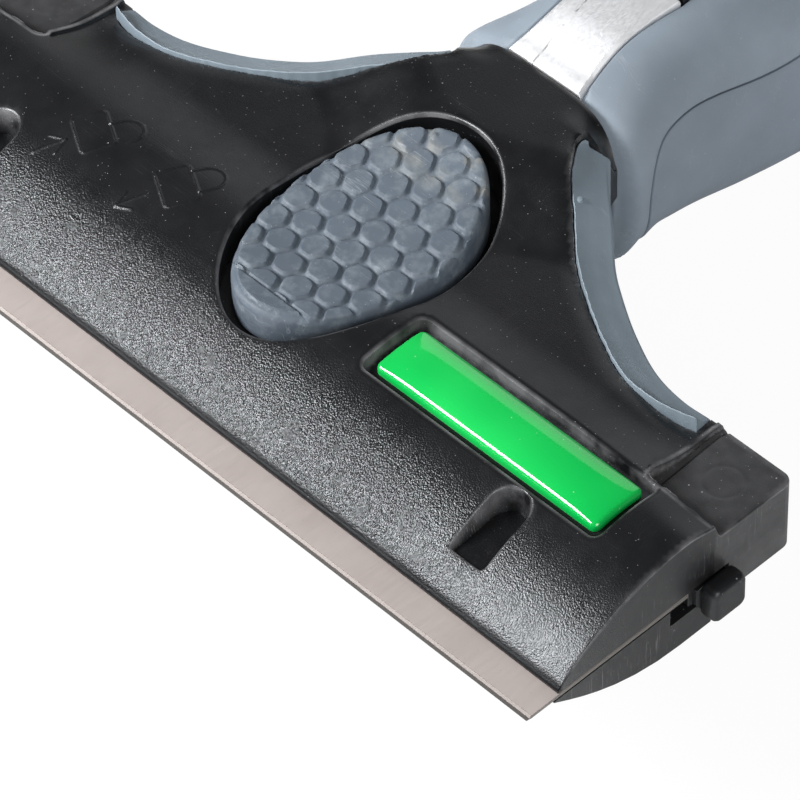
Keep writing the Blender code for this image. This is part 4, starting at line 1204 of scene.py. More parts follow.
@dataclass
class FlankGrip:
    """One band of rubber along a concave side of the head."""

    shell: UpperShell
    side: int
    round_off: float = 0.45
    top: float = 4.9
    climb: float = 2.6
    bottom: float = -3.2
    inner: float = 1.6
    gate: tuple[float, float, float] = (13.4, 25.4, 7.75)

    def sections(self) -> list[Array]:
        """Return the sections along the flank, from the ear to the neck.

        Returns:
            Closed rings of as many points each.
        """
        form = self.shell.form
        curve, inward, run, band = self.shell.flank_bands()
        rings = []
        for place, normal, along, width in zip(curve, inward, run, band):
            sink = float(round_drop(np.array(min(along, run[-1] - along)), 0.35))
            lift = self.climb * float(form.neck_rise(form.neck_lag_half, place[1])) - sink
            rings.append(self._section(place, normal, float(width), lift))
        return rings

    def _section(self, place: Array, normal: Array, band: float, lift: float) -> Array:
        """Return one section: up the outside, over the top and down inside.

        Args:
            place: Place on the flank.
            normal: Direction inwards there.
            band: Width of the rubber there.
            lift: Height added to its top there.

        Returns:
            Points of the closed ring.
        """
        outer, top = -0.1, self.top + lift
        middle = (outer + self.round_off, top - self.round_off - 0.45)
        shape = [(outer, self.bottom), (outer, top - 3.0), (outer, top - 1.2)]
        shape += [tuple(point) for point in arc(middle, self.round_off, 180, 100, 7)]
        shape += [(1.0, top - 0.05), (1.9, top + 0.35), (2.8, top + 0.8)]
        shape = [(min(d, band - 0.12), z) for d, z in shape]
        shape += [(band - 0.1, top + 1.22), (band - 0.02, top + 1.16), (band, top + 1.0), (band, top - 0.4)]
        shape += [(1.9, top - 1.9), (self.inner, top - 2.2), (self.inner, self.bottom)]
        depth, z = np.array(shape).T
        flat = place + normal * depth[:, None]
        return np.column_stack([self.side * flat[:, 0], flat[:, 1], z])

    def build(self, material: Material) -> Piece:
        """Build the grip.

        Args:
            material: Finish of the piece.

        Returns:
            The new piece.
        """
        name = "right" if self.side > 0 else "left"
        body = Body()
        body.loft(self.sections())
        if self.side > 0:
            self._gate_mark(body)
        return body.make(f"{name}_flank_grip_skin", material, 40.0)

    def _gate_mark(self, body: Body) -> None:
        """Add the small nub that the moulding gate left.

        Args:
            body: Body that it is added to.
        """
        x, y, z = self.gate
        rings = []
        for radius, rise in ((0.42, -0.6), (0.42, 0.1), (0.33, 0.24), (0.12, 0.3)):
            ring = arc((x, y), radius, 0, 330, 12)
            rings.append(np.column_stack([ring, np.full(len(ring), z + rise)]))
        body.loft(rings)


@dataclass
class Badge:
    """The glossy domed label, plain, in its recess."""

    shell: UpperShell
    margin: float = 0.95
    corner: float = 0.7
    rise: float = 0.5
    sink: float = 0.45
    edge: float = 0.4
    under: float = 1.25

    def build(self, material: Material) -> Piece:
        """Build the badge.

        Args:
            material: Finish of the piece.

        Returns:
            The new piece.
        """
        low = np.array(self.shell.badge_low) + self.margin
        high = np.array(self.shell.badge_high) - self.margin
        line = resample(rounded_rectangle(low, high, self.corner), 0.25, True)
        guides = follow(line, (0.04, 0.12, 0.26, 0.45))
        sheet = Sheet([line], guides, 0.4)
        away = line_distance(sheet.points, line, 1.0)
        wide, long = (2 * (sheet.points - low) / (high - low) - 1).T
        crown = (1 - np.abs(wide) ** 8) * (1 - np.abs(long) ** 3.5)
        base = self.shell.form.top(*sheet.points.T)
        height = base - self.sink + self.rise * crown - round_drop(away, self.edge)
        top = np.column_stack([sheet.points, height])
        bottom = top.copy()
        bottom[:, 2] = base - self.under
        body = Body()
        body.sheet(sheet, top, [bottom], bottom)
        return body.make("badge_skin", material, 40.0)


@dataclass
class Carriage:
    """The bar that carries the blade, with a rounded knob at each end."""

    low: Pair = (2.6, -2.2)
    high: Pair = (7.2, -0.1)
    knob_low: Pair = (3.4, -3.5)
    knob_high: Pair = (7.6, 0.6)
    knob_steps: tuple[tuple[float, float, float], ...] = (
        (50.34, 0.25, 0.6), (50.5, 0.06, 0.75), (50.8, 0.0, 0.8), (51.5, 0.0, 0.8),
        (51.9, 0.05, 0.78), (52.15, 0.2, 0.7), (52.27, 0.42, 0.55), (52.3, 0.7, 0.4),
    )
    stub_steps: tuple[Pair, ...] = ((49.6, 3.0), (50.2, 3.1))
    stub_rear: float = 7.15
    stub_levels: Pair = (-2.15, -0.15)
    stub_radius: float = 0.25
    bar_end: float = 49.7
    chamfer: float = 0.06
    notch_half: float = 5.4
    notch_height: float = 1.0

    @staticmethod
    def _section(x: float, low: Sequence[float], high: Sequence[float], radius: float) -> Array:
        """Return a rounded rectangle across the bar at one place along it."""
        loop = rounded_rectangle(low, high, radius)
        return np.column_stack([np.full(len(loop), x), loop])

    def _knob(self, side: int) -> list[Array]:
        """Return the sections of one knob, from inside the head to its rounded end.

        Args:
            side: -1 for the left and 1 for the right.

        Returns:
            Closed rings of as many points each.
        """
        low, high = np.array(self.knob_low), np.array(self.knob_high)
        bottom, top = self.stub_levels
        rings = []
        for x, front in self.stub_steps:
            rings.append(self._section(side * x, (front, bottom), (self.stub_rear, top), self.stub_radius))
        for x, inset, radius in self.knob_steps:
            rings.append(self._section(side * x, low + inset, high - inset, radius))
        return rings

    def build(self, material: Material, middle: float) -> Piece:
        """Build the carriage, with the notch for the clamp's arm.

        Args:
            material: Finish of the piece.
            middle: Place of the notch along the bar.

        Returns:
            The new piece.
        """
        body = Body()
        (front, bottom), (rear, top) = self.low, self.high
        notch, end, chamfer = bottom + self.notch_height, self.bar_end, self.chamfer
        outline = [
            (-end, bottom), (middle - self.notch_half, bottom), (middle - self.notch_half, notch),
            (middle + self.notch_half, notch), (middle + self.notch_half, bottom), (end, bottom),
            (end, top), (-end, top),
        ]
        rings = []
        for y, inset in ((front, chamfer), (front + chamfer, 0.0), (rear - chamfer, 0.0), (rear, chamfer)):
            loop = offset_line(np.array(outline), inset, True)
            rings.append(np.column_stack([loop[:, 0], np.full(len(loop), y), loop[:, 1]]))
        body.loft(rings)
        for side in (-1, 1):
            body.loft(self._knob(side))
        return body.make("blade_carriage_skin", material, 40.0)


# ---------------------------------------------------------------- the handle


@dataclass(frozen=True)
class HandleForm:
    """The handle's sections and seam, as the CAD source draws them.

    A row has a section's place as a share of the length, its width as a share of the
    width, and its top, its widest level and its bottom as shares of the height. The seam
    has places as shares of the length, and heights as shares of the height.
    """

    start: float = 34.1
    end: float = 199.0
    width: float = 30.0
    height: float = 30.0
    radius: float = 11.0
    upper_power: float = 2.6
    lower_power: float = 2.8
    fuller_left: float = 2.1
    slimmer_left: float = 1.2
    strip_half_width: float = 4.85
    strip_pinch: float = 0.6
    strip_length: float = 13.7
    spacing: float = 1.4
    near_spacing: float = 0.55
    near_end: float = 82.0
    rows: tuple[tuple[float, ...], ...] = (
        (0.000, 0.660, 0.326, -0.017, -0.420),
        (0.005, 0.765, 0.337, -0.020, -0.420),
        (0.012, 0.795, 0.350, -0.025, -0.362),
        (0.026, 0.787, 0.380, -0.043, -0.318),
        (0.042, 0.770, 0.407, -0.067, -0.334),
        (0.068, 0.747, 0.430, -0.100, -0.375),
        (0.110, 0.747, 0.455, -0.115, -0.455),
        (0.160, 0.790, 0.473, -0.120, -0.500),
        (0.240, 0.850, 0.485, -0.115, -0.535),
        (0.340, 0.895, 0.480, -0.105, -0.540),
        (0.450, 0.900, 0.462, -0.085, -0.505),
        (0.570, 0.885, 0.450, -0.060, -0.465),
        (0.700, 0.895, 0.455, -0.035, -0.450),
        (0.820, 0.930, 0.470, -0.015, -0.465),
        (0.920, 0.965, 0.482, -0.005, -0.482),
        (1.000, 0.975, 0.487, 0.000, -0.487),
    )
    seam: tuple[Pair, ...] = (
        (0.0158, -0.300), (0.0149, -0.183), (0.0145, -0.098), (0.0152, -0.022), (0.0180, 0.055),
        (0.0220, 0.104), (0.0262, 0.136), (0.0310, 0.158), (0.0380, 0.173), (0.0478, 0.179),
        (0.0592, 0.177), (0.0702, 0.169), (0.0828, 0.155), (0.0954, 0.138), (0.1084, 0.122),
        (0.1200, 0.112), (0.1330, 0.107), (0.1500, 0.109), (0.2400, 0.120), (1.0000, 0.120),
    )

    def column(self, y: Array, index: int) -> Array:
        """Read one column of the sections' table, with smooth steps between its rows.

        Args:
            y: Places along the handle.
            index: Column of the table.

        Returns:
            The column's values.
        """
        table = np.array(self.rows)
        share = np.clip((y - self.start) / (self.end - self.start), 0.0, 1.0)
        line = smooth_curve(table[:, [0, index]], 0.002)
        return np.interp(share, line[:, 0], line[:, 1])

    def place(self, y: Array, lane: Array, offset: Array | float) -> Array:
        """Return the points of the handle's skin.

        Args:
            y: Places along the handle.
            lane: Lengths round the section from its top, in millimetres at the mean radius.
            offset: Distances outwards.

        Returns:
            One point per row.
        """
        angle = math.pi / 2 - lane / self.radius
        half = self.column(y, 1) * self.width / 2 + offset
        top = self.column(y, 2) * self.height + offset
        middle = self.column(y, 3) * self.height
        bottom = self.column(y, 4) * self.height - offset
        upper = np.sin(angle) > 0
        power = np.where(upper, self.upper_power, self.lower_power)
        reach = np.where(upper, top - middle, middle - bottom)
        across = np.abs(np.cos(angle)) ** (2 / power) * np.sign(np.cos(angle))
        up = np.abs(np.sin(angle)) ** (2 / power) * np.sign(np.sin(angle))
        half = half + self._left_spare(y) * ease((-across - 0.4) / 0.5)
        return np.column_stack([half * across, y, middle + reach * up])

    def _left_spare(self, y: Array) -> Array:
        """Return how much further the left side reaches than the right, behind the neck.

        Args:
            y: Places along the handle.

        Returns:
            Distances.
        """
        back = y - self.start
        fuller = self.fuller_left * np.clip(1 - back / 8, 0, 1) ** 1.5
        return fuller - self.slimmer_left * ease((back - 2) / 6) * (1 - ease((back - 20) / 20))

    def lane_of_height(self, y: Array, z: Array) -> Array:
        """Return the lane on the right side where the skin has a height.

        Args:
            y: Places along the handle.
            z: Heights.

        Returns:
            Lanes.
        """
        top = self.column(y, 2) * self.height
        middle = self.column(y, 3) * self.height
        bottom = self.column(y, 4) * self.height
        share = np.where(z > middle, (z - middle) / (top - middle), (z - middle) / (middle - bottom))
        power = np.where(z > middle, self.upper_power, self.lower_power)
        sine = np.sign(share) * np.clip(np.abs(share), 0, 1) ** (power / 2)
        return (math.pi / 2 - np.arcsin(sine)) * self.radius

    def lane_of_side(self, y: Array, x: Array) -> Array:
        """Return the lane on the top where the skin has a distance from the middle.

        Args:
            y: Places along the handle.
            x: Distances from the middle.

        Returns:
            Lanes.
        """
        half = self.column(y, 1) * self.width / 2
        cosine = np.clip(np.abs(x) / half, 0, 1) ** (self.upper_power / 2)
        return np.arcsin(cosine) * self.radius

    def seam_line(self) -> Array:
        """Return the seam on the right side as places along and lanes.

        Returns:
            A place along the handle and a lane in each row.
        """
        table = np.array(self.seam)
        line = smooth_curve(table, 0.001)
        y = self.start + line[:, 0] * (self.end - self.start)
        lane = self.lane_of_height(y, line[:, 1] * self.height)
        points = np.column_stack([y, lane])
        low = np.array([(points[0, 0], math.pi * self.radius)])
        return resample(np.vstack([low, points]), 0.5, False)

    def near_zone(self, half: float) -> Zone:
        """Return the finely divided part behind the neck, up to a lane on both sides."""
        loop = rounded_rectangle((self.start - 1, -half), (self.near_end, half), 0.5)
        return Zone(loop, self.near_spacing)

    def strip_half(self, y: Array) -> Array:
        """Return half the bright strip's width, pinched behind the neck."""
        along = np.clip((y - self.start) / self.strip_length, 0, 1)
        return self.strip_half_width - self.strip_pinch * np.sin(math.pi * along)


@dataclass
class Sleeve:
    """The rubber sleeve behind the neck and along the handle's top."""

    form: HandleForm
    insert_end: float = 64.0
    front: float = 33.84
    wall: float = 2.0
    strip_gaps: Pair = (0.15, 0.42)
    front_edge: float = 0.5
    side_edge: float = 0.12

    def outline(self) -> Array:
        """Return the sleeve's outline as places along and lanes.

        Returns:
            A place along the handle and a lane in each row, closed.
        """
        form = self.form
        back = math.pi * form.radius
        seam = form.seam_line()
        along = np.arange(self.front, self.insert_end + 0.31, 0.4)
        near, wide = (np.column_stack([along, self._strip_edge(along, gap)]) for gap in self.strip_gaps)
        start = np.array([(self.front, back)])
        right = np.vstack([near[::-1], start, seam])
        left = np.vstack([seam[::-1], start, wide]) * (1, -1)
        return clean_loop(np.vstack([right, left]))

    def _strip_edge(self, along: Array, gap: float) -> Array:
        """Return the lanes beside the bright strip at a gap from it."""
        return self.form.lane_of_side(along, self.form.strip_half(along) + gap)

    def build(self, material: Material) -> Piece:
        """Build the sleeve.

        Args:
            material: Finish of the piece.

        Returns:
            The new piece.
        """
        form = self.form
        line = self.outline()
        back = math.pi * form.radius
        guides = follow(line, (0.04, 0.12, 0.26, 0.5))
        sheet = Sheet([line], guides, form.spacing, [form.near_zone(back + 1)])
        along, lane = sheet.points.T
        away = line_distance(sheet.points, line, 0.6)
        away = np.where(np.abs(lane) > back - 0.6, 1.0, away)
        edge = np.where(along < form.start + 1.0, self.front_edge, self.side_edge)
        top = form.place(along, lane, -round_drop(away, edge))
        inner = form.place(along, lane, -self.wall)
        body = Body()
        body.sheet(sheet, top, [inner], inner)
        LOG.info("sleeve: %d faces", len(body.faces))
        return body.make("handle_sleeve_skin", material, 40.0, 0.01)


@dataclass
class MainGrip:
    """The rubber grip below the seam, a little proud of the sleeve."""

    form: HandleForm
    proud: float = 0.16
    gap: float = 0.05
    wall: float = 2.0
    near_half: float = 40.0
    edge: float = 0.14

    def build(self, material: Material) -> Piece:
        """Build the grip.

        Args:
            material: Finish of the piece.

        Returns:
            The new piece.
        """
        form = self.form
        seam = offset_line(form.seam_line(), self.gap, False)
        full = math.pi * form.radius
        seam[:, 1] = np.minimum(seam[:, 1], full)
        seam[-1, 0] = form.end
        down = full - seam[:, 1]
        right = np.column_stack([seam[:, 0], -down])
        left = np.column_stack([seam[:, 0], down])[::-1]
        line = clean_loop(np.vstack([right, left]))
        guides = follow(line, (0.03, 0.08, 0.16))
        sheet = Sheet([line], guides, form.spacing, [form.near_zone(self.near_half)])
        along, down = sheet.points.T
        away = line_distance(sheet.points, line, 0.7)
        lane = full - down
        top = form.place(along, lane, self.proud - round_drop(away, self.edge))
        inner = form.place(along, lane, -self.wall)
        body = Body()
        body.sheet(sheet, top, [inner], inner)
        LOG.info("main grip: %d faces", len(body.faces))
        return body.make("main_grip_skin", material, 40.0)


@dataclass
class SpineStrip:
    """The bright metal strip on the handle's top, and the dark piece behind it."""

    form: HandleForm
    end: float = 47.8
    insert_end: float = 64.0
    proud: float = 0.1
    thickness: float = 1.2
    bevel: float = 0.25
    bevel_growth: float = 0.05
    brim_drop: float = 0.32
    side_drop: float = 0.45

    @staticmethod
    def _fold(x: float, y: float) -> float:
        """Return how far the sheet is bent down behind its slanting fold."""
        return 0.014 * min(max(0.0, y - 40.5 - 0.75 * x), 7.0)

    def _ring(self, y: float, rise: float) -> Array:
        """Return one section, crowned and with bevelled edges.

        Args:
            y: Place along the handle.
            rise: Height of its top above the handle's skin.

        Returns:
            Points of the closed ring.
        """
        along = np.array([y])
        half = float(self.form.strip_half(along)[0])
        top = float(self.form.column(along, 2)[0]) * self.form.height + rise
        low = top - self.thickness
        brim, side = top - self.brim_drop, top - self.side_drop
        bevel = self.bevel + self.bevel_growth * min(y - self.form.start, 8.0)
        across = [(k, -0.03 * abs(k) ** 3) for k in np.linspace(-1, 1, 13)]
        crest = [(k * (half - bevel), top + z - self._fold(k * half, y)) for k, z in across]
        upper = [(-half + bevel * 0.15, brim)] + crest + [(half - bevel * 0.15, brim)]
        shape = [(half, low), (half, side)] + upper[::-1] + [(-half, side), (-half, low)]
        return np.array([(x, y, z) for x, z in shape])

    def build(self, strip: Material, insert: Material) -> tuple[Piece, ...]:
        """Build the strip and the insert.

        Args:
            strip: Finish of the strip.
            insert: Finish of the insert.

        Returns:
            The strip and the insert.
        """
        body = Body()
        rings = [self._ring(self.form.start, -0.06)]
        along = np.linspace(self.form.start + 0.1, self.end - 0.15, 56)
        rings += [self._ring(y, self.proud) for y in along]
        rings.append(self._ring(self.end, -0.04))
        body.loft(rings)
        dark = Body()
        dark.loft([self._ring(y, self.proud) for y in np.linspace(self.end + 0.3, self.insert_end, 50)])
        return body.make("spine_strip_skin", strip, 25.0), dark.make("spine_insert_skin", insert, 30.0)


# ---------------------------------------------------------------- finishes


class Grain(Enum):
    """Which moulded texture a plastic has."""

    FINE = "fine"
    PEBBLED = "pebbled"


class Nodes:
    """A small helper that adds and links shader nodes of one material."""

    def __init__(self, name: str) -> None:
        """Start an empty material with a Principled shader.

        Args:
            name: Name of the material.
        """
        self.material = bpy.data.materials.new(name)
        self.material.use_nodes = True
        self.tree = self.material.node_tree
        self.shader = self.tree.nodes["Principled BSDF"]
        self.place = self.add("ShaderNodeTexCoord").outputs["Object"]

    def add(self, kind: str, **values: object) -> bpy.types.Node:
        """Add a node and set its properties or inputs.

        Args:
            kind: Type of the node.
            values: Its properties, and its inputs with _ for a space.

        Returns:
            The node.
        """
        node = self.tree.nodes.new(kind)
        for key, value in values.items():
            if hasattr(node, key):
                setattr(node, key, value)
            else:
                self.feed(node, key.replace("_", " "), value)
        return node

    def feed(self, node: bpy.types.Node, key: int | str, value: object) -> None:
        """Set an input of a node, or link it where the value is a socket.

        Args:
            node: Node whose input it is.
            key: Name or index of the input.
            value: Number, colour or socket.
        """
        if isinstance(value, Socket):
            self.tree.links.new(value, node.inputs[key])
        else:
            node.inputs[key].default_value = value

    def set(self, key: str, value: object) -> None:
        """Set or link an input of the shader."""
        self.feed(self.shader, key, value)

    def axis(self, letter: str) -> Socket:
        """Return one coordinate of the place on the object, in metres."""
        return self.add("ShaderNodeSeparateXYZ", Vector=self.place).outputs[letter]

    def facing(self, letter: str) -> Socket:
        """Return how far a face looks along an axis, either way, from 0 to 1."""
        normal = self.add("ShaderNodeNewGeometry").outputs["True Normal"]
        return self.math("ABSOLUTE", self.add("ShaderNodeSeparateXYZ", Vector=normal).outputs[letter], 0.0)

    def noise(
        self, scale: float, detail: float = 3.0, stretch: Colour = (1.0, 1.0, 1.0), rough: float = 0.5
    ) -> Socket:
        """Return noise, stretched along the axes.

        Args:
            scale: Repeats per metre.
            detail: Number of finer layers.
            stretch: Factors on the scale along X, Y and Z.
            rough: Weight of the finer layers.

        Returns:
            The noise, about 0.5 on average.
        """
        place = self.add("ShaderNodeMapping", Scale=stretch, Vector=self.place).outputs[0]
        node = self.add("ShaderNodeTexNoise", Scale=scale, Detail=detail, Roughness=rough, Vector=place)
        return node.outputs["Fac"]

    def ramp(
        self, value: Socket | float, low: float, high: float, start: float = 0.0, end: float = 1.0
    ) -> Socket:
        """Return a value mapped from one range to another and clamped.

        Args:
            value: Value to map.
            low: Value that gives the start.
            high: Value that gives the end.
            start: Result at the low value.
            end: Result at the high value.

        Returns:
            The result.
        """
        node = self.add("ShaderNodeMapRange", Value=value, From_Min=low, From_Max=high)
        self.feed(node, "To Min", start)
        self.feed(node, "To Max", end)
        return node.outputs[0]

    def math(self, operation: str, first: Socket | float, second: Socket | float) -> Socket:
        """Return the result of one sum, product or the like.

        Args:
            operation: Name of the operation.
            first: First value.
            second: Second value.

        Returns:
            The result.
        """
        node = self.add("ShaderNodeMath", operation=operation)
        self.feed(node, 0, first)
        self.feed(node, 1, second)
        return node.outputs[0]

    def mix(self, share: Socket, first: Socket | Colour, second: Socket | Colour) -> Socket:
        """Return two colours mixed by a share.

        Args:
            share: Share of the second colour.
            first: First colour.
            second: Second colour.

        Returns:
            The mixed colour.
        """
        node = self.add("ShaderNodeMix", data_type="RGBA")
        self.feed(node, 0, share)
        for key, value in ((6, first), (7, second)):
            self.feed(node, key, value if isinstance(value, Socket) else (*value, 1.0))
        return node.outputs[2]

    def bump(self, height: Socket, distance: float, strength: float) -> Socket:
        """Return a bumped normal."""
        return self.add("ShaderNodeBump", Strength=strength, Distance=distance, Height=height).outputs[0]

    def specks(self, scale: float, size: float, shift: Colour = (0.0, 0.0, 0.0)) -> Socket:
        """Return sparse small dots, as dust lies.

        Args:
            scale: Cells per metre.
            size: Size of a dot in its cell.
            shift: Offset of the cells, in metres.

        Returns:
            1 in a dot and 0 beside it.
        """
        mapping = self.add("ShaderNodeMapping", Location=shift, Vector=self.place)
        cells = self.add("ShaderNodeTexVoronoi", Scale=scale, Vector=mapping.outputs[0])
        return self.ramp(cells.outputs["Distance"], size, size * 0.4)

    def scratches(self, scale: float, stretch: Colour, width: float) -> Socket:
        """Return thin sparse lines.

        Args:
            scale: Repeats per metre.
            stretch: Factors on the scale along X, Y and Z.
            width: Width of a line in the noise.

        Returns:
            1 on a line and 0 beside it.
        """
        line = self.noise(scale, 2.0, stretch, 0.6)
        near = self.math("ABSOLUTE", self.math("SUBTRACT", line, 0.5), 0.0)
        patch = self.ramp(self.noise(scale * 0.35, 1.0), 0.52, 0.62)
        return self.math("MULTIPLY", self.ramp(near, width, 0.0), patch)


@dataclass(frozen=True)
class Plastic:
    """Black moulded plastic with grain, dust, scuffs and fine scratches."""

    name: str
    grain: Grain
    roughness: float = 0.33
    colour: Colour = (0.0048, 0.0050, 0.0056)
    # Pale grey that haze, scratches, scuffed ends and rims blend to; at the rims it is partly a painted
    # edge highlight.
    wear_and_highlight_colour: Colour = (0.14, 0.14, 0.145)
    dust_colour: Colour = (0.42, 0.42, 0.43)
    dust: float = 0.5
    plain_grain: float = 0.1
    relief: float = 0.00011

    def material(self) -> Material:
        """Return the material.

        Returns:
            The material.
        """
        n = Nodes(self.name)
        front = self._grain_share(n)
        dust = self._dust(n, front)
        scratches = self._scratches(n, front)
        n.set("Base Color", self._colour(n, dust, scratches))
        n.set("Roughness", self._roughness(n, front, dust))
        n.set("Normal", self._relief(n, front, scratches))
        n.set("Specular Tint", (0.93, 0.965, 1.0, 1.0))
        if self.grain is Grain.PEBBLED:
            n.set("Specular IOR Level", n.ramp(n.axis("Y"), -0.1064, -0.1061, 0.12, 0.5))
        return n.material

    def _grain_share(self, n: Nodes) -> Socket | float:
        """Return how deep the grain is: full on the dome and faint elsewhere.

        Args:
            n: The material's nodes.

        Returns:
            1 on the dome, less elsewhere.
        """
        if self.grain is Grain.FINE:
            return self.plain_grain
        dome = n.ramp(n.axis("Y"), -0.0955, -0.1005)
        side = n.ramp(n.axis("X"), 0.052, 0.024, 0.3, 1.0)
        lip = n.ramp(n.axis("Y"), -0.1065, -0.1061)
        return n.math("MULTIPLY", n.math("MULTIPLY", dome, side), lip)

    def _dust(self, n: Nodes, front: Socket | float) -> Socket:
        """Return the dust specks, fewer on the dome."""
        specks = n.math("MAXIMUM", n.specks(430.0, 0.045), n.specks(1500.0, 0.085, (0.3, 0.1, 0.2)))
        return n.math("MULTIPLY", specks, n.ramp(front, 0.1, 0.6, self.dust, self.dust * 0.3))

    @staticmethod
    def _scratches(n: Nodes, front: Socket | float) -> Socket:
        """Return the fine scratches both ways, none on the dome.

        Args:
            n: The material's nodes.
            front: Share of the dome's finish.

        Returns:
            1 on a scratch and 0 beside it.
        """
        along = n.scratches(600.0, (1.0, 0.03, 1.0), 0.006)
        across = n.scratches(560.0, (0.035, 1.0, 1.0), 0.006)
        calm = n.ramp(front, 0.1, 0.6, 1.0, 0.0)
        return n.math("MULTIPLY", n.math("MAXIMUM", along, across), calm)

    def _relief(self, n: Nodes, front: Socket | float, scratches: Socket) -> Socket:
        """Return the normal bumped by the grain and the scratches.

        Args:
            n: The material's nodes.
            front: Share of the dome's finish.
            scratches: Mask of the scratches.

        Returns:
            The normal.
        """
        pebbles = n.noise(6400.0, 1.0, (1.1, 0.9, 1.0), 0.4)
        fine = n.noise(11000.0, 1.0)
        depth = n.ramp(front, 0.0, 1.0, 0.10, 1.0)
        surface = n.math("ADD", n.math("MULTIPLY", pebbles, depth), n.math("MULTIPLY", fine, 0.08))
        surface = n.math("SUBTRACT", surface, n.math("MULTIPLY", scratches, 0.04))
        return n.bump(surface, self.relief, 0.8)

    def _colour(self, n: Nodes, dust: Socket, scratches: Socket) -> Socket:
        """Return the black with its haze, rubbed rims with a painted edge highlight, scuffed ends and dust.

        Args:
            n: The material's nodes.
            dust: Mask of the specks.
            scratches: Mask of the scratches.

        Returns:
            The colour.
        """
        haze = n.ramp(n.noise(95.0, 4.0), 0.42, 0.7, 0.0, 0.05 * self.dust)
        light = n.math("ADD", haze, n.math("MULTIPLY", scratches, 0.04))
        light = n.math("ADD", light, self._end_wear(n))
        if self.grain is Grain.PEBBLED:
            light = n.math("ADD", light, self._ear_film(n))
        # Rims paled in patches: partly rubbing, partly a painted edge highlight.
        rims = n.add("ShaderNodeAttribute", attribute_name="rim_wear_and_highlight").outputs["Fac"]
        rim_wear_and_highlight_share = n.math("MULTIPLY", rims, n.ramp(n.noise(260.0, 3.0), 0.38, 0.62))
        tint = n.mix(n.math("ADD", light, rim_wear_and_highlight_share), self.colour, self.wear_and_highlight_colour)
        return n.mix(dust, tint, self.dust_colour)

    def _roughness(self, n: Nodes, front: Socket | float, dust: Socket) -> Socket:
        """Return the roughness, lower on the dome and higher under dust.

        Args:
            n: The material's nodes.
            front: Share of the dome's finish.
            dust: Mask of the specks.

        Returns:
            The roughness.
        """
        rough = n.ramp(n.noise(420.0, 3.0), 0.3, 0.7, self.roughness - 0.035, self.roughness + 0.045)
        rough = n.math("SUBTRACT", rough, n.math("MULTIPLY", front, 0.09))
        return n.math("ADD", rough, n.math("MULTIPLY", dust, 0.3))

    @staticmethod
    def _ear_film(n: Nodes) -> Socket:
        """Return the pale film on the two ears.

        Args:
            n: The material's nodes.

        Returns:
            Share of the film.
        """
        outer = n.ramp(n.math("ABSOLUTE", n.axis("X"), 0.0), 0.0407, 0.0413)
        behind = n.ramp(n.axis("Y"), -0.0872, -0.0867)
        film = n.ramp(n.noise(700.0, 4.0), 0.3, 0.7, 0.14, 0.24)
        return n.math("MULTIPLY", film, n.math("MULTIPLY", outer, behind))

    @staticmethod
    def _end_wear(n: Nodes) -> Socket:
        """Return the upright scratches that the faces at the two ends have.

        Args:
            n: The material's nodes.

        Returns:
            1 on a scratch and 0 beside it.
        """
        ends = n.ramp(n.facing("X"), 0.9, 0.98)
        streaks = n.ramp(n.noise(5200.0, 2.0, (1.0, 1.0, 0.05), 0.6), 0.58, 0.66)
        patches = n.ramp(n.noise(230.0, 3.0), 0.47, 0.62)
        marks = n.math("MULTIPLY", n.math("MULTIPLY", streaks, patches), 0.5)
        base = n.ramp(n.noise(1400.0, 3.0), 0.3, 0.7, 0.02, 0.07)
        return n.math("MULTIPLY", ends, n.math("ADD", base, marks))


@dataclass(frozen=True)
class Rubber:
    """Matte blue-grey rubber with dust, small nicks and, where it is handled, dirt."""

    name: str
    colour: Colour = (0.166, 0.206, 0.240)
    dust_colour: Colour = (0.36, 0.39, 0.42)
    roughness: float = 0.58
    dust: float = 0.6
    dirt_from: float | None = None

    def material(self) -> Material:
        """Return the material.

        Returns:
            The material.
        """
        n = Nodes(self.name)
        broad = n.noise(160.0, 4.0)
        nicks = n.scratches(700.0, (0.03, 1.0, 0.4), 0.006)
        specks = n.math("MAXIMUM", n.specks(430.0, 0.045), n.specks(1500.0, 0.085, (0.2, 0.4, 0.1)))
        lighter = tuple(value * 1.16 + 0.004 for value in self.colour)
        tint = n.mix(n.ramp(broad, 0.35, 0.7), self.colour, lighter)
        if self.dirt_from is not None:
            tint = self._soiled(n, tint)
        light = n.math("MAXIMUM", n.math("MULTIPLY", specks, self.dust), n.math("MULTIPLY", nicks, 0.3))
        n.set("Base Color", n.mix(light, tint, self.dust_colour))
        n.set("Roughness", n.ramp(broad, 0.3, 0.7, self.roughness - 0.05, self.roughness + 0.06))
        n.set("Normal", self._relief(n, nicks))
        n.set("Specular IOR Level", 0.42)
        return n.material

    @staticmethod
    def _relief(n: Nodes, nicks: Socket) -> Socket:
        """Return the normal bumped by the matte surface and the nicks.

        Args:
            n: The material's nodes.
            nicks: Mask of the nicks.

        Returns:
            The normal.
        """
        fine = n.math("MULTIPLY", n.noise(6500.0, 3.0), 0.35)
        surface = n.math("SUBTRACT", fine, n.math("MULTIPLY", nicks, 0.3))
        surface = n.math("ADD", surface, n.math("MULTIPLY", n.noise(900.0, 2.0), 0.4))
        return n.bump(surface, 0.00005, 0.7)

    def _soiled(self, n: Nodes, tint: Socket) -> Socket:
        """Return the colour with pale smears and, behind a place along Y, brownish dirt.

        Args:
            n: The material's nodes.
            tint: Colour of the clean rubber.

        Returns:
            The colour.
        """
        smears = n.ramp(n.noise(520.0, 5.0, (1.0, 1.0, 1.0), 0.65), 0.48, 0.72, 0.0, 0.55)
        tint = n.mix(smears, tint, (0.21, 0.245, 0.27))
        shade = n.ramp(n.noise(300.0, 4.0), 0.4, 0.7, 0.0, 0.45)
        tint = n.mix(shade, tint, (0.085, 0.10, 0.125))
        rear = n.ramp(n.axis("Y"), self.dirt_from, self.dirt_from + 0.005)
        brown = n.math("MULTIPLY", rear, n.ramp(n.noise(430.0, 4.0), 0.5, 0.66, 0.0, 0.6))
        return n.mix(brown, tint, (0.235, 0.23, 0.20))


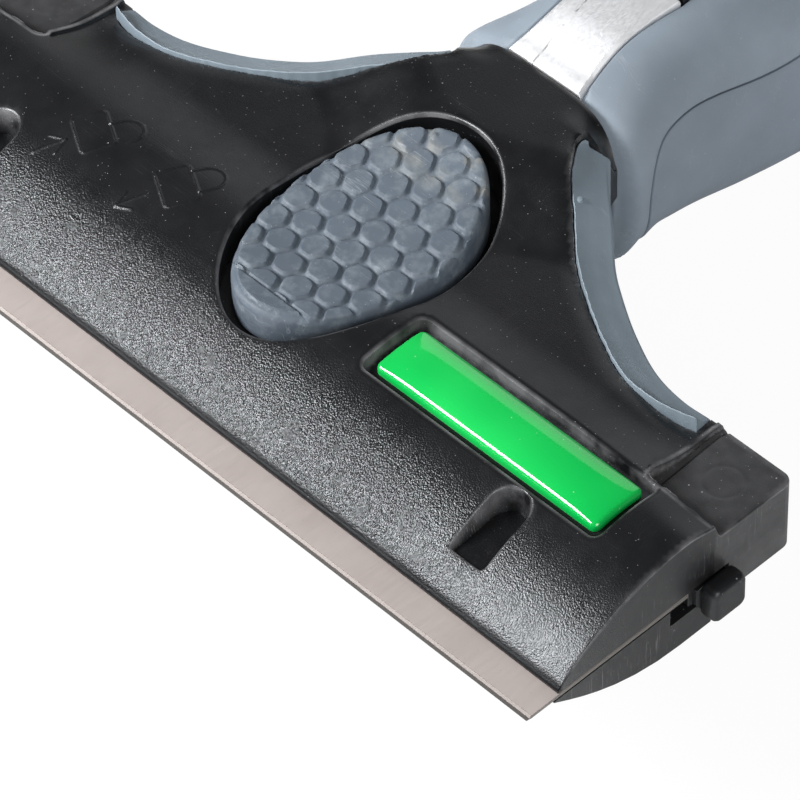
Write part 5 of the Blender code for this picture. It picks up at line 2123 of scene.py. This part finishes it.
@dataclass(frozen=True)
class Steel:
    """Bare metal with a brushed direction, stains, scratches and pits, with painted shade on a blade's ends
    and along a strip's crease.
    """

    name: str
    colour: Colour
    roughness: float
    brush: Colour = (1.0, 0.06, 1.0)
    stain: Colour = (0.30, 0.24, 0.22)
    stained: float = 0.25
    metallic: float = 1.0
    edge: float | None = None
    crease: float | None = None

    def material(self) -> Material:
        """Return the material.

        Returns:
            The material.
        """
        n = Nodes(self.name)
        lines = n.noise(5200.0, 2.0, self.brush, 0.6)
        pits = n.specks(900.0, 0.08)
        share = n.math("MULTIPLY", n.ramp(n.noise(120.0, 4.0), 0.45, 0.75), self.stained)
        colour = n.mix(n.math("ADD", share, n.math("MULTIPLY", pits, 0.3)), self.colour, self.stain)
        if self.edge is not None:
            colour = self._cutting_edge_and_shaded_ends(n, colour)
        if self.crease is not None:
            # Painted shade: a broken dark line along the strip's crease.
            colour = n.mix(self._crease_shade_line(n), colour, (0.22, 0.22, 0.23))
        n.set("Base Color", colour)
        n.set("Metallic", self.metallic)
        n.set("Roughness", n.ramp(lines, 0.3, 0.7, self.roughness - 0.05, self.roughness + 0.07))
        n.set("Normal", self._relief(n, lines, pits))
        return n.material

    def _relief(self, n: Nodes, lines: Socket, pits: Socket) -> Socket:
        """Return the normal bumped by the brushing, the scratches and the pits.

        Args:
            n: The material's nodes.
            lines: Brushed lines.
            pits: Mask of the pits.

        Returns:
            The normal.
        """
        marks = n.scratches(300.0, self.brush, 0.014)
        surface = n.math("ADD", n.math("MULTIPLY", lines, 0.5), n.math("MULTIPLY", marks, -0.6))
        surface = n.math("SUBTRACT", surface, n.math("MULTIPLY", pits, 0.5))
        return n.bump(surface, 0.00002, 0.5)

    def _cutting_edge_and_shaded_ends(self, n: Nodes, colour: Socket) -> Socket:
        """Return the colour with a darker bevel, a dark line at its edge and painted shade on the ends.

        Args:
            n: The material's nodes.
            colour: Colour of the flat steel.

        Returns:
            The colour.
        """
        place = n.axis("Y")
        bevel = n.ramp(place, self.edge + 0.00066, self.edge + 0.00060)
        colour = n.mix(bevel, colour, (0.30, 0.265, 0.25))
        line = n.ramp(place, self.edge + 0.00034, self.edge + 0.00029)
        colour = n.mix(line, colour, (0.055, 0.050, 0.047))
        # Painted shade: the blade's end faces are darkened.
        return n.mix(n.ramp(n.facing("X"), 0.8, 0.9), colour, (0.16, 0.15, 0.14))

    def _crease_shade_line(self, n: Nodes) -> Socket:
        """Return the broken line of painted shade along a slanting crease.

        Args:
            n: The material's nodes.

        Returns:
            Share of the line.
        """
        slant = n.math("ADD", n.axis("X"), n.math("MULTIPLY", n.axis("Y"), 0.06))
        bent = n.math("ADD", slant, n.math("MULTIPLY", n.noise(260.0, 2.0), 0.0006))
        away = n.math("ABSOLUTE", n.math("SUBTRACT", bent, self.crease), 0.0)
        broken = n.ramp(n.noise(900.0, 2.0), 0.42, 0.55, 0.0, 0.75)
        return n.math("MULTIPLY", n.ramp(away, 0.00013, 0.00004), broken)


@dataclass(frozen=True)
class Gloss:
    """Clear-coated coloured resin, as a domed label has."""

    name: str
    colour: Colour = (0.0, 0.36, 0.056)
    dust_colour: Colour = (0.5, 0.75, 0.5)

    def material(self) -> Material:
        """Return the material.

        Returns:
            The material.
        """
        n = Nodes(self.name)
        light = tuple(min(value * 1.25 + 0.01, 1.0) for value in self.colour)
        colour = n.mix(n.ramp(n.noise(60.0, 2.0), 0.35, 0.7), self.colour, light)
        colour = n.mix(n.math("MULTIPLY", n.specks(800.0, 0.07), 0.35), colour, self.dust_colour)
        n.set("Base Color", colour)
        n.set("Roughness", n.ramp(n.noise(300.0, 2.0), 0.3, 0.7, 0.10, 0.16))
        n.set("Normal", n.bump(n.noise(700.0, 2.0), 0.00001, 0.4))
        n.set("Coat Weight", 0.6)
        n.set("Coat Roughness", 0.05)
        return n.material


# ---------------------------------------------------------------- studio


@dataclass
class Studio:
    """The pale floor, the white backdrop, the lights and the camera."""

    centre: tuple[float, float, float] = (0.250125, -0.304322, 0.352661)
    turn: float = 0.8371095336933599
    lift: float = 0.8143252327228795
    roll: float = -0.04159982990330173
    lens: float = 225.0
    sensor: float = 36.0
    target: tuple[float, float, float] = (-0.002, -0.1035, 0.021)
    soft_light: float = 0.07
    floor_reach: float = 3.0
    floor_white: float = 0.95

    def build(self) -> None:
        """Set up everything round the object."""
        self._view()
        self._world()
        self._floor()
        self._lights()
        self._camera()

    @staticmethod
    def _view() -> None:
        """Use the plain view transform."""
        bpy.context.scene.view_settings.view_transform = "Standard"

    def _world(self) -> None:
        """Light the scene softly and show white to the camera."""
        world = bpy.data.worlds.new("studio_world")
        bpy.context.scene.world = world
        world.use_nodes = True
        tree = world.node_tree
        soft = tree.nodes["Background"]
        soft.inputs["Color"].default_value = (1.0, 1.0, 1.0, 1.0)
        soft.inputs["Strength"].default_value = self.soft_light
        white = tree.nodes.new("ShaderNodeBackground")
        white.inputs["Color"].default_value = (1.0, 1.0, 1.0, 1.0)
        white.inputs["Strength"].default_value = 1.0
        path = tree.nodes.new("ShaderNodeLightPath")
        mix = tree.nodes.new("ShaderNodeMixShader")
        tree.links.new(path.outputs["Is Camera Ray"], mix.inputs[0])
        tree.links.new(soft.outputs[0], mix.inputs[1])
        tree.links.new(white.outputs[0], mix.inputs[2])
        tree.links.new(mix.outputs[0], tree.nodes["World Output"].inputs["Surface"])

    def _floor(self) -> None:
        """Lay a pale floor that keeps a faint shadow."""
        mesh = bpy.data.meshes.new("studio_floor")
        reach = self.floor_reach
        corners = [(-reach, -reach, 0.0), (reach, -reach, 0.0), (reach, reach, 0.0), (-reach, reach, 0.0)]
        mesh.from_pydata(corners, [], [(0, 1, 2, 3)])
        floor = bpy.data.objects.new("studio_floor", mesh)
        bpy.context.scene.collection.objects.link(floor)
        mesh.materials.append(self._floor_finish())

    def _floor_finish(self) -> Material:
        """Return the floor's pale finish, which the camera sees nearly white.

        Returns:
            The material.
        """
        n = Nodes("studio_floor_finish")
        n.set("Base Color", (0.9, 0.9, 0.9, 1.0))
        n.set("Roughness", 0.9)
        n.set("Specular IOR Level", 0.0)
        white = n.add("ShaderNodeEmission", Color=(1.0, 1.0, 1.0, 1.0), Strength=1.0)
        path = n.add("ShaderNodeLightPath")
        mix = n.add("ShaderNodeMixShader")
        n.feed(mix, 0, n.math("MULTIPLY", path.outputs["Is Camera Ray"], self.floor_white))
        n.feed(mix, 1, n.shader.outputs[0])
        n.feed(mix, 2, white.outputs[0])
        n.feed(n.tree.nodes["Material Output"], "Surface", mix.outputs[0])
        return n.material

    def _light(
        self, name: str, away: Colour, distance: float, size: Pair, power: float
    ) -> None:
        """Add an area light whose long side lies along X.

        Args:
            name: The light's name.
            away: Direction from the target to the light.
            distance: Distance from the target.
            size: Its width along X and its depth.
            power: Its power in watts.
        """
        data = bpy.data.lights.new(name, "AREA")
        data.shape = "RECTANGLE"
        data.size, data.size_y = size
        data.energy = power
        lamp = bpy.data.objects.new(name, data)
        bpy.context.scene.collection.objects.link(lamp)
        direction = Vector(away).normalized()
        lamp.location = Vector(self.target) + direction * distance
        facing = Vector((direction.x * 0.2, direction.y, direction.z))
        lamp.rotation_mode = "QUATERNION"
        lamp.rotation_quaternion = facing.to_track_quat("Z", "Y")

    def _lights(self) -> None:
        """Hang a near light ahead on the left, a broad dim one behind and a broad one at the right."""
        self._light("key", (-0.58, -0.585, 0.605), distance=0.36, size=(0.24, 0.12), power=2.95)
        self._light("rear", (-0.40, 0.80, 0.45), distance=0.8, size=(0.6, 0.52), power=0.8)
        self._light("side", (0.80, -0.32, 0.55), distance=1.1, size=(0.7, 0.7), power=10.5)

    def _camera(self) -> None:
        """Set the camera as the photograph was taken."""
        turn, lift, roll = self.turn, self.lift, self.roll
        back = Vector((math.sin(turn) * math.cos(lift), -math.cos(turn) * math.cos(lift), math.sin(lift)))
        level = Vector((math.cos(turn), math.sin(turn), 0.0))
        upright = back.cross(level)
        right = math.cos(roll) * level + math.sin(roll) * upright
        up = -math.sin(roll) * level + math.cos(roll) * upright
        matrix = Matrix((right, up, back)).transposed().to_4x4()
        matrix.translation = Vector(self.centre)
        data = bpy.data.cameras.new("camera")
        data.sensor_width = self.sensor
        data.lens = self.lens
        data.clip_start = 0.01
        data.clip_end = 20.0
        camera = bpy.data.objects.new("camera", data)
        bpy.context.scene.collection.objects.link(camera)
        camera.matrix_world = matrix
        bpy.context.scene.camera = camera


# ---------------------------------------------------------------- the whole tool


@dataclass
class Scraper:
    """The scraper's pieces on their CAD bodies."""

    nodes: dict[str, Piece]

    def build(self) -> None:
        """Build every piece in order."""
        self._head()
        self._handle()
        self._carried_over()

    def _put(self, piece: Piece, body: str, node: str) -> None:
        """Seat a piece on its body in place of a CAD node.

        Args:
            piece: Piece to seat.
            body: Body that it moves with.
            node: CAD node that it stands for.
        """
        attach(piece, body)
        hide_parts(node)
        LOG.info("%s stands for %s on %s", piece.name, node, body)

    def _head(self) -> None:
        """Build the head's pieces."""
        shell = UpperShell(HeadForm())
        black = Plastic("shell_black", Grain.PEBBLED).material()
        self._put(shell.build(black), "tool", "upper_shell")
        grey = Rubber("pad_rubber", (0.072, 0.092, 0.116), dirt_from=-0.0775).material()
        self._put(ThumbPad().build(grey), "button", "thumb_pad")
        green = Gloss("badge_green").material()
        self._put(Badge(shell).build(green), "tool", "badge")
        dull = Plastic("carriage_black", Grain.FINE, roughness=0.45).material()
        self._put(Carriage().build(dull, shell.button[0]), "carriage", "blade_carriage")
        rubber = Rubber("flank_rubber").material()
        for side, name in ((-1, "left"), (1, "right")):
            grip = FlankGrip(shell, side).build(rubber)
            self._put(grip, "tool", f"{name}_flank_grip")

    def _handle(self) -> None:
        """Build the handle's pieces."""
        form = HandleForm()
        sleeve = Rubber("sleeve_rubber", (0.192, 0.230, 0.270)).material()
        grip = Rubber("grip_rubber", (0.168, 0.200, 0.240)).material()
        self._put(Sleeve(form).build(sleeve), "tool", "handle_sleeve")
        self._put(MainGrip(form).build(grip), "tool", "main_grip")
        metal = Steel(
            "strip_metal",
            colour=(0.85, 0.86, 0.88),
            roughness=0.54,
            brush=(1.0, 0.3, 1.0),
            stain=(0.55, 0.55, 0.55),
            stained=0.3,
            metallic=0.82,
            crease=-0.0048,
        ).material()
        dark = Plastic("insert_black", Grain.FINE).material()
        strip, insert = SpineStrip(form).build(metal, dark)
        self._put(strip, "tool", "spine_strip")
        self._put(insert, "tool", "spine_insert")

    def _front_edge(self, name: str) -> float:
        """Return the least Y of a CAD node in its own frame."""
        return min(corner[1] for corner in self.nodes[name].bound_box)

    def _carried_over(self) -> None:
        """Give the CAD nodes that are shown as they are their finishes."""
        screw = Steel("screw_steel", (0.42, 0.42, 0.43), roughness=0.32).material()
        edge = self._front_edge("blade")
        finishes = {
            "lower_shell": Plastic("jaw_black", Grain.FINE, roughness=0.42).material(),
            "blade": Steel("blade_steel", (0.54, 0.477, 0.452), 0.46, metallic=0.5, edge=edge).material(),
            "clamp_plate": Steel("plate_steel", (0.5, 0.5, 0.5), roughness=0.35).material(),
            "thumb_button": Plastic("button_black", Grain.FINE, roughness=0.5).material(),
            "button_spring": Steel("spring_steel", (0.5, 0.5, 0.5), roughness=0.3).material(),
            "handle_core": Plastic("core_black", Grain.FINE, roughness=0.5).material(),
            "end_collar": Plastic("collar_black", Grain.FINE, roughness=0.45).material(),
        }
        for name, node in self.nodes.items():
            material = finishes.get(name, screw if "screw" in name else None)
            if material is not None:
                node.data.materials.clear()
                node.data.materials.append(material)
                LOG.info("%s is carried over", name)


def main() -> None:
    """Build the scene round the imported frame."""
    logging.basicConfig(level=logging.INFO, format="%(name)s: %(message)s")
    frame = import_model()
    Scraper(frame["nodes"]).build()
    Studio().build()


if __name__ == "__main__":
    main()
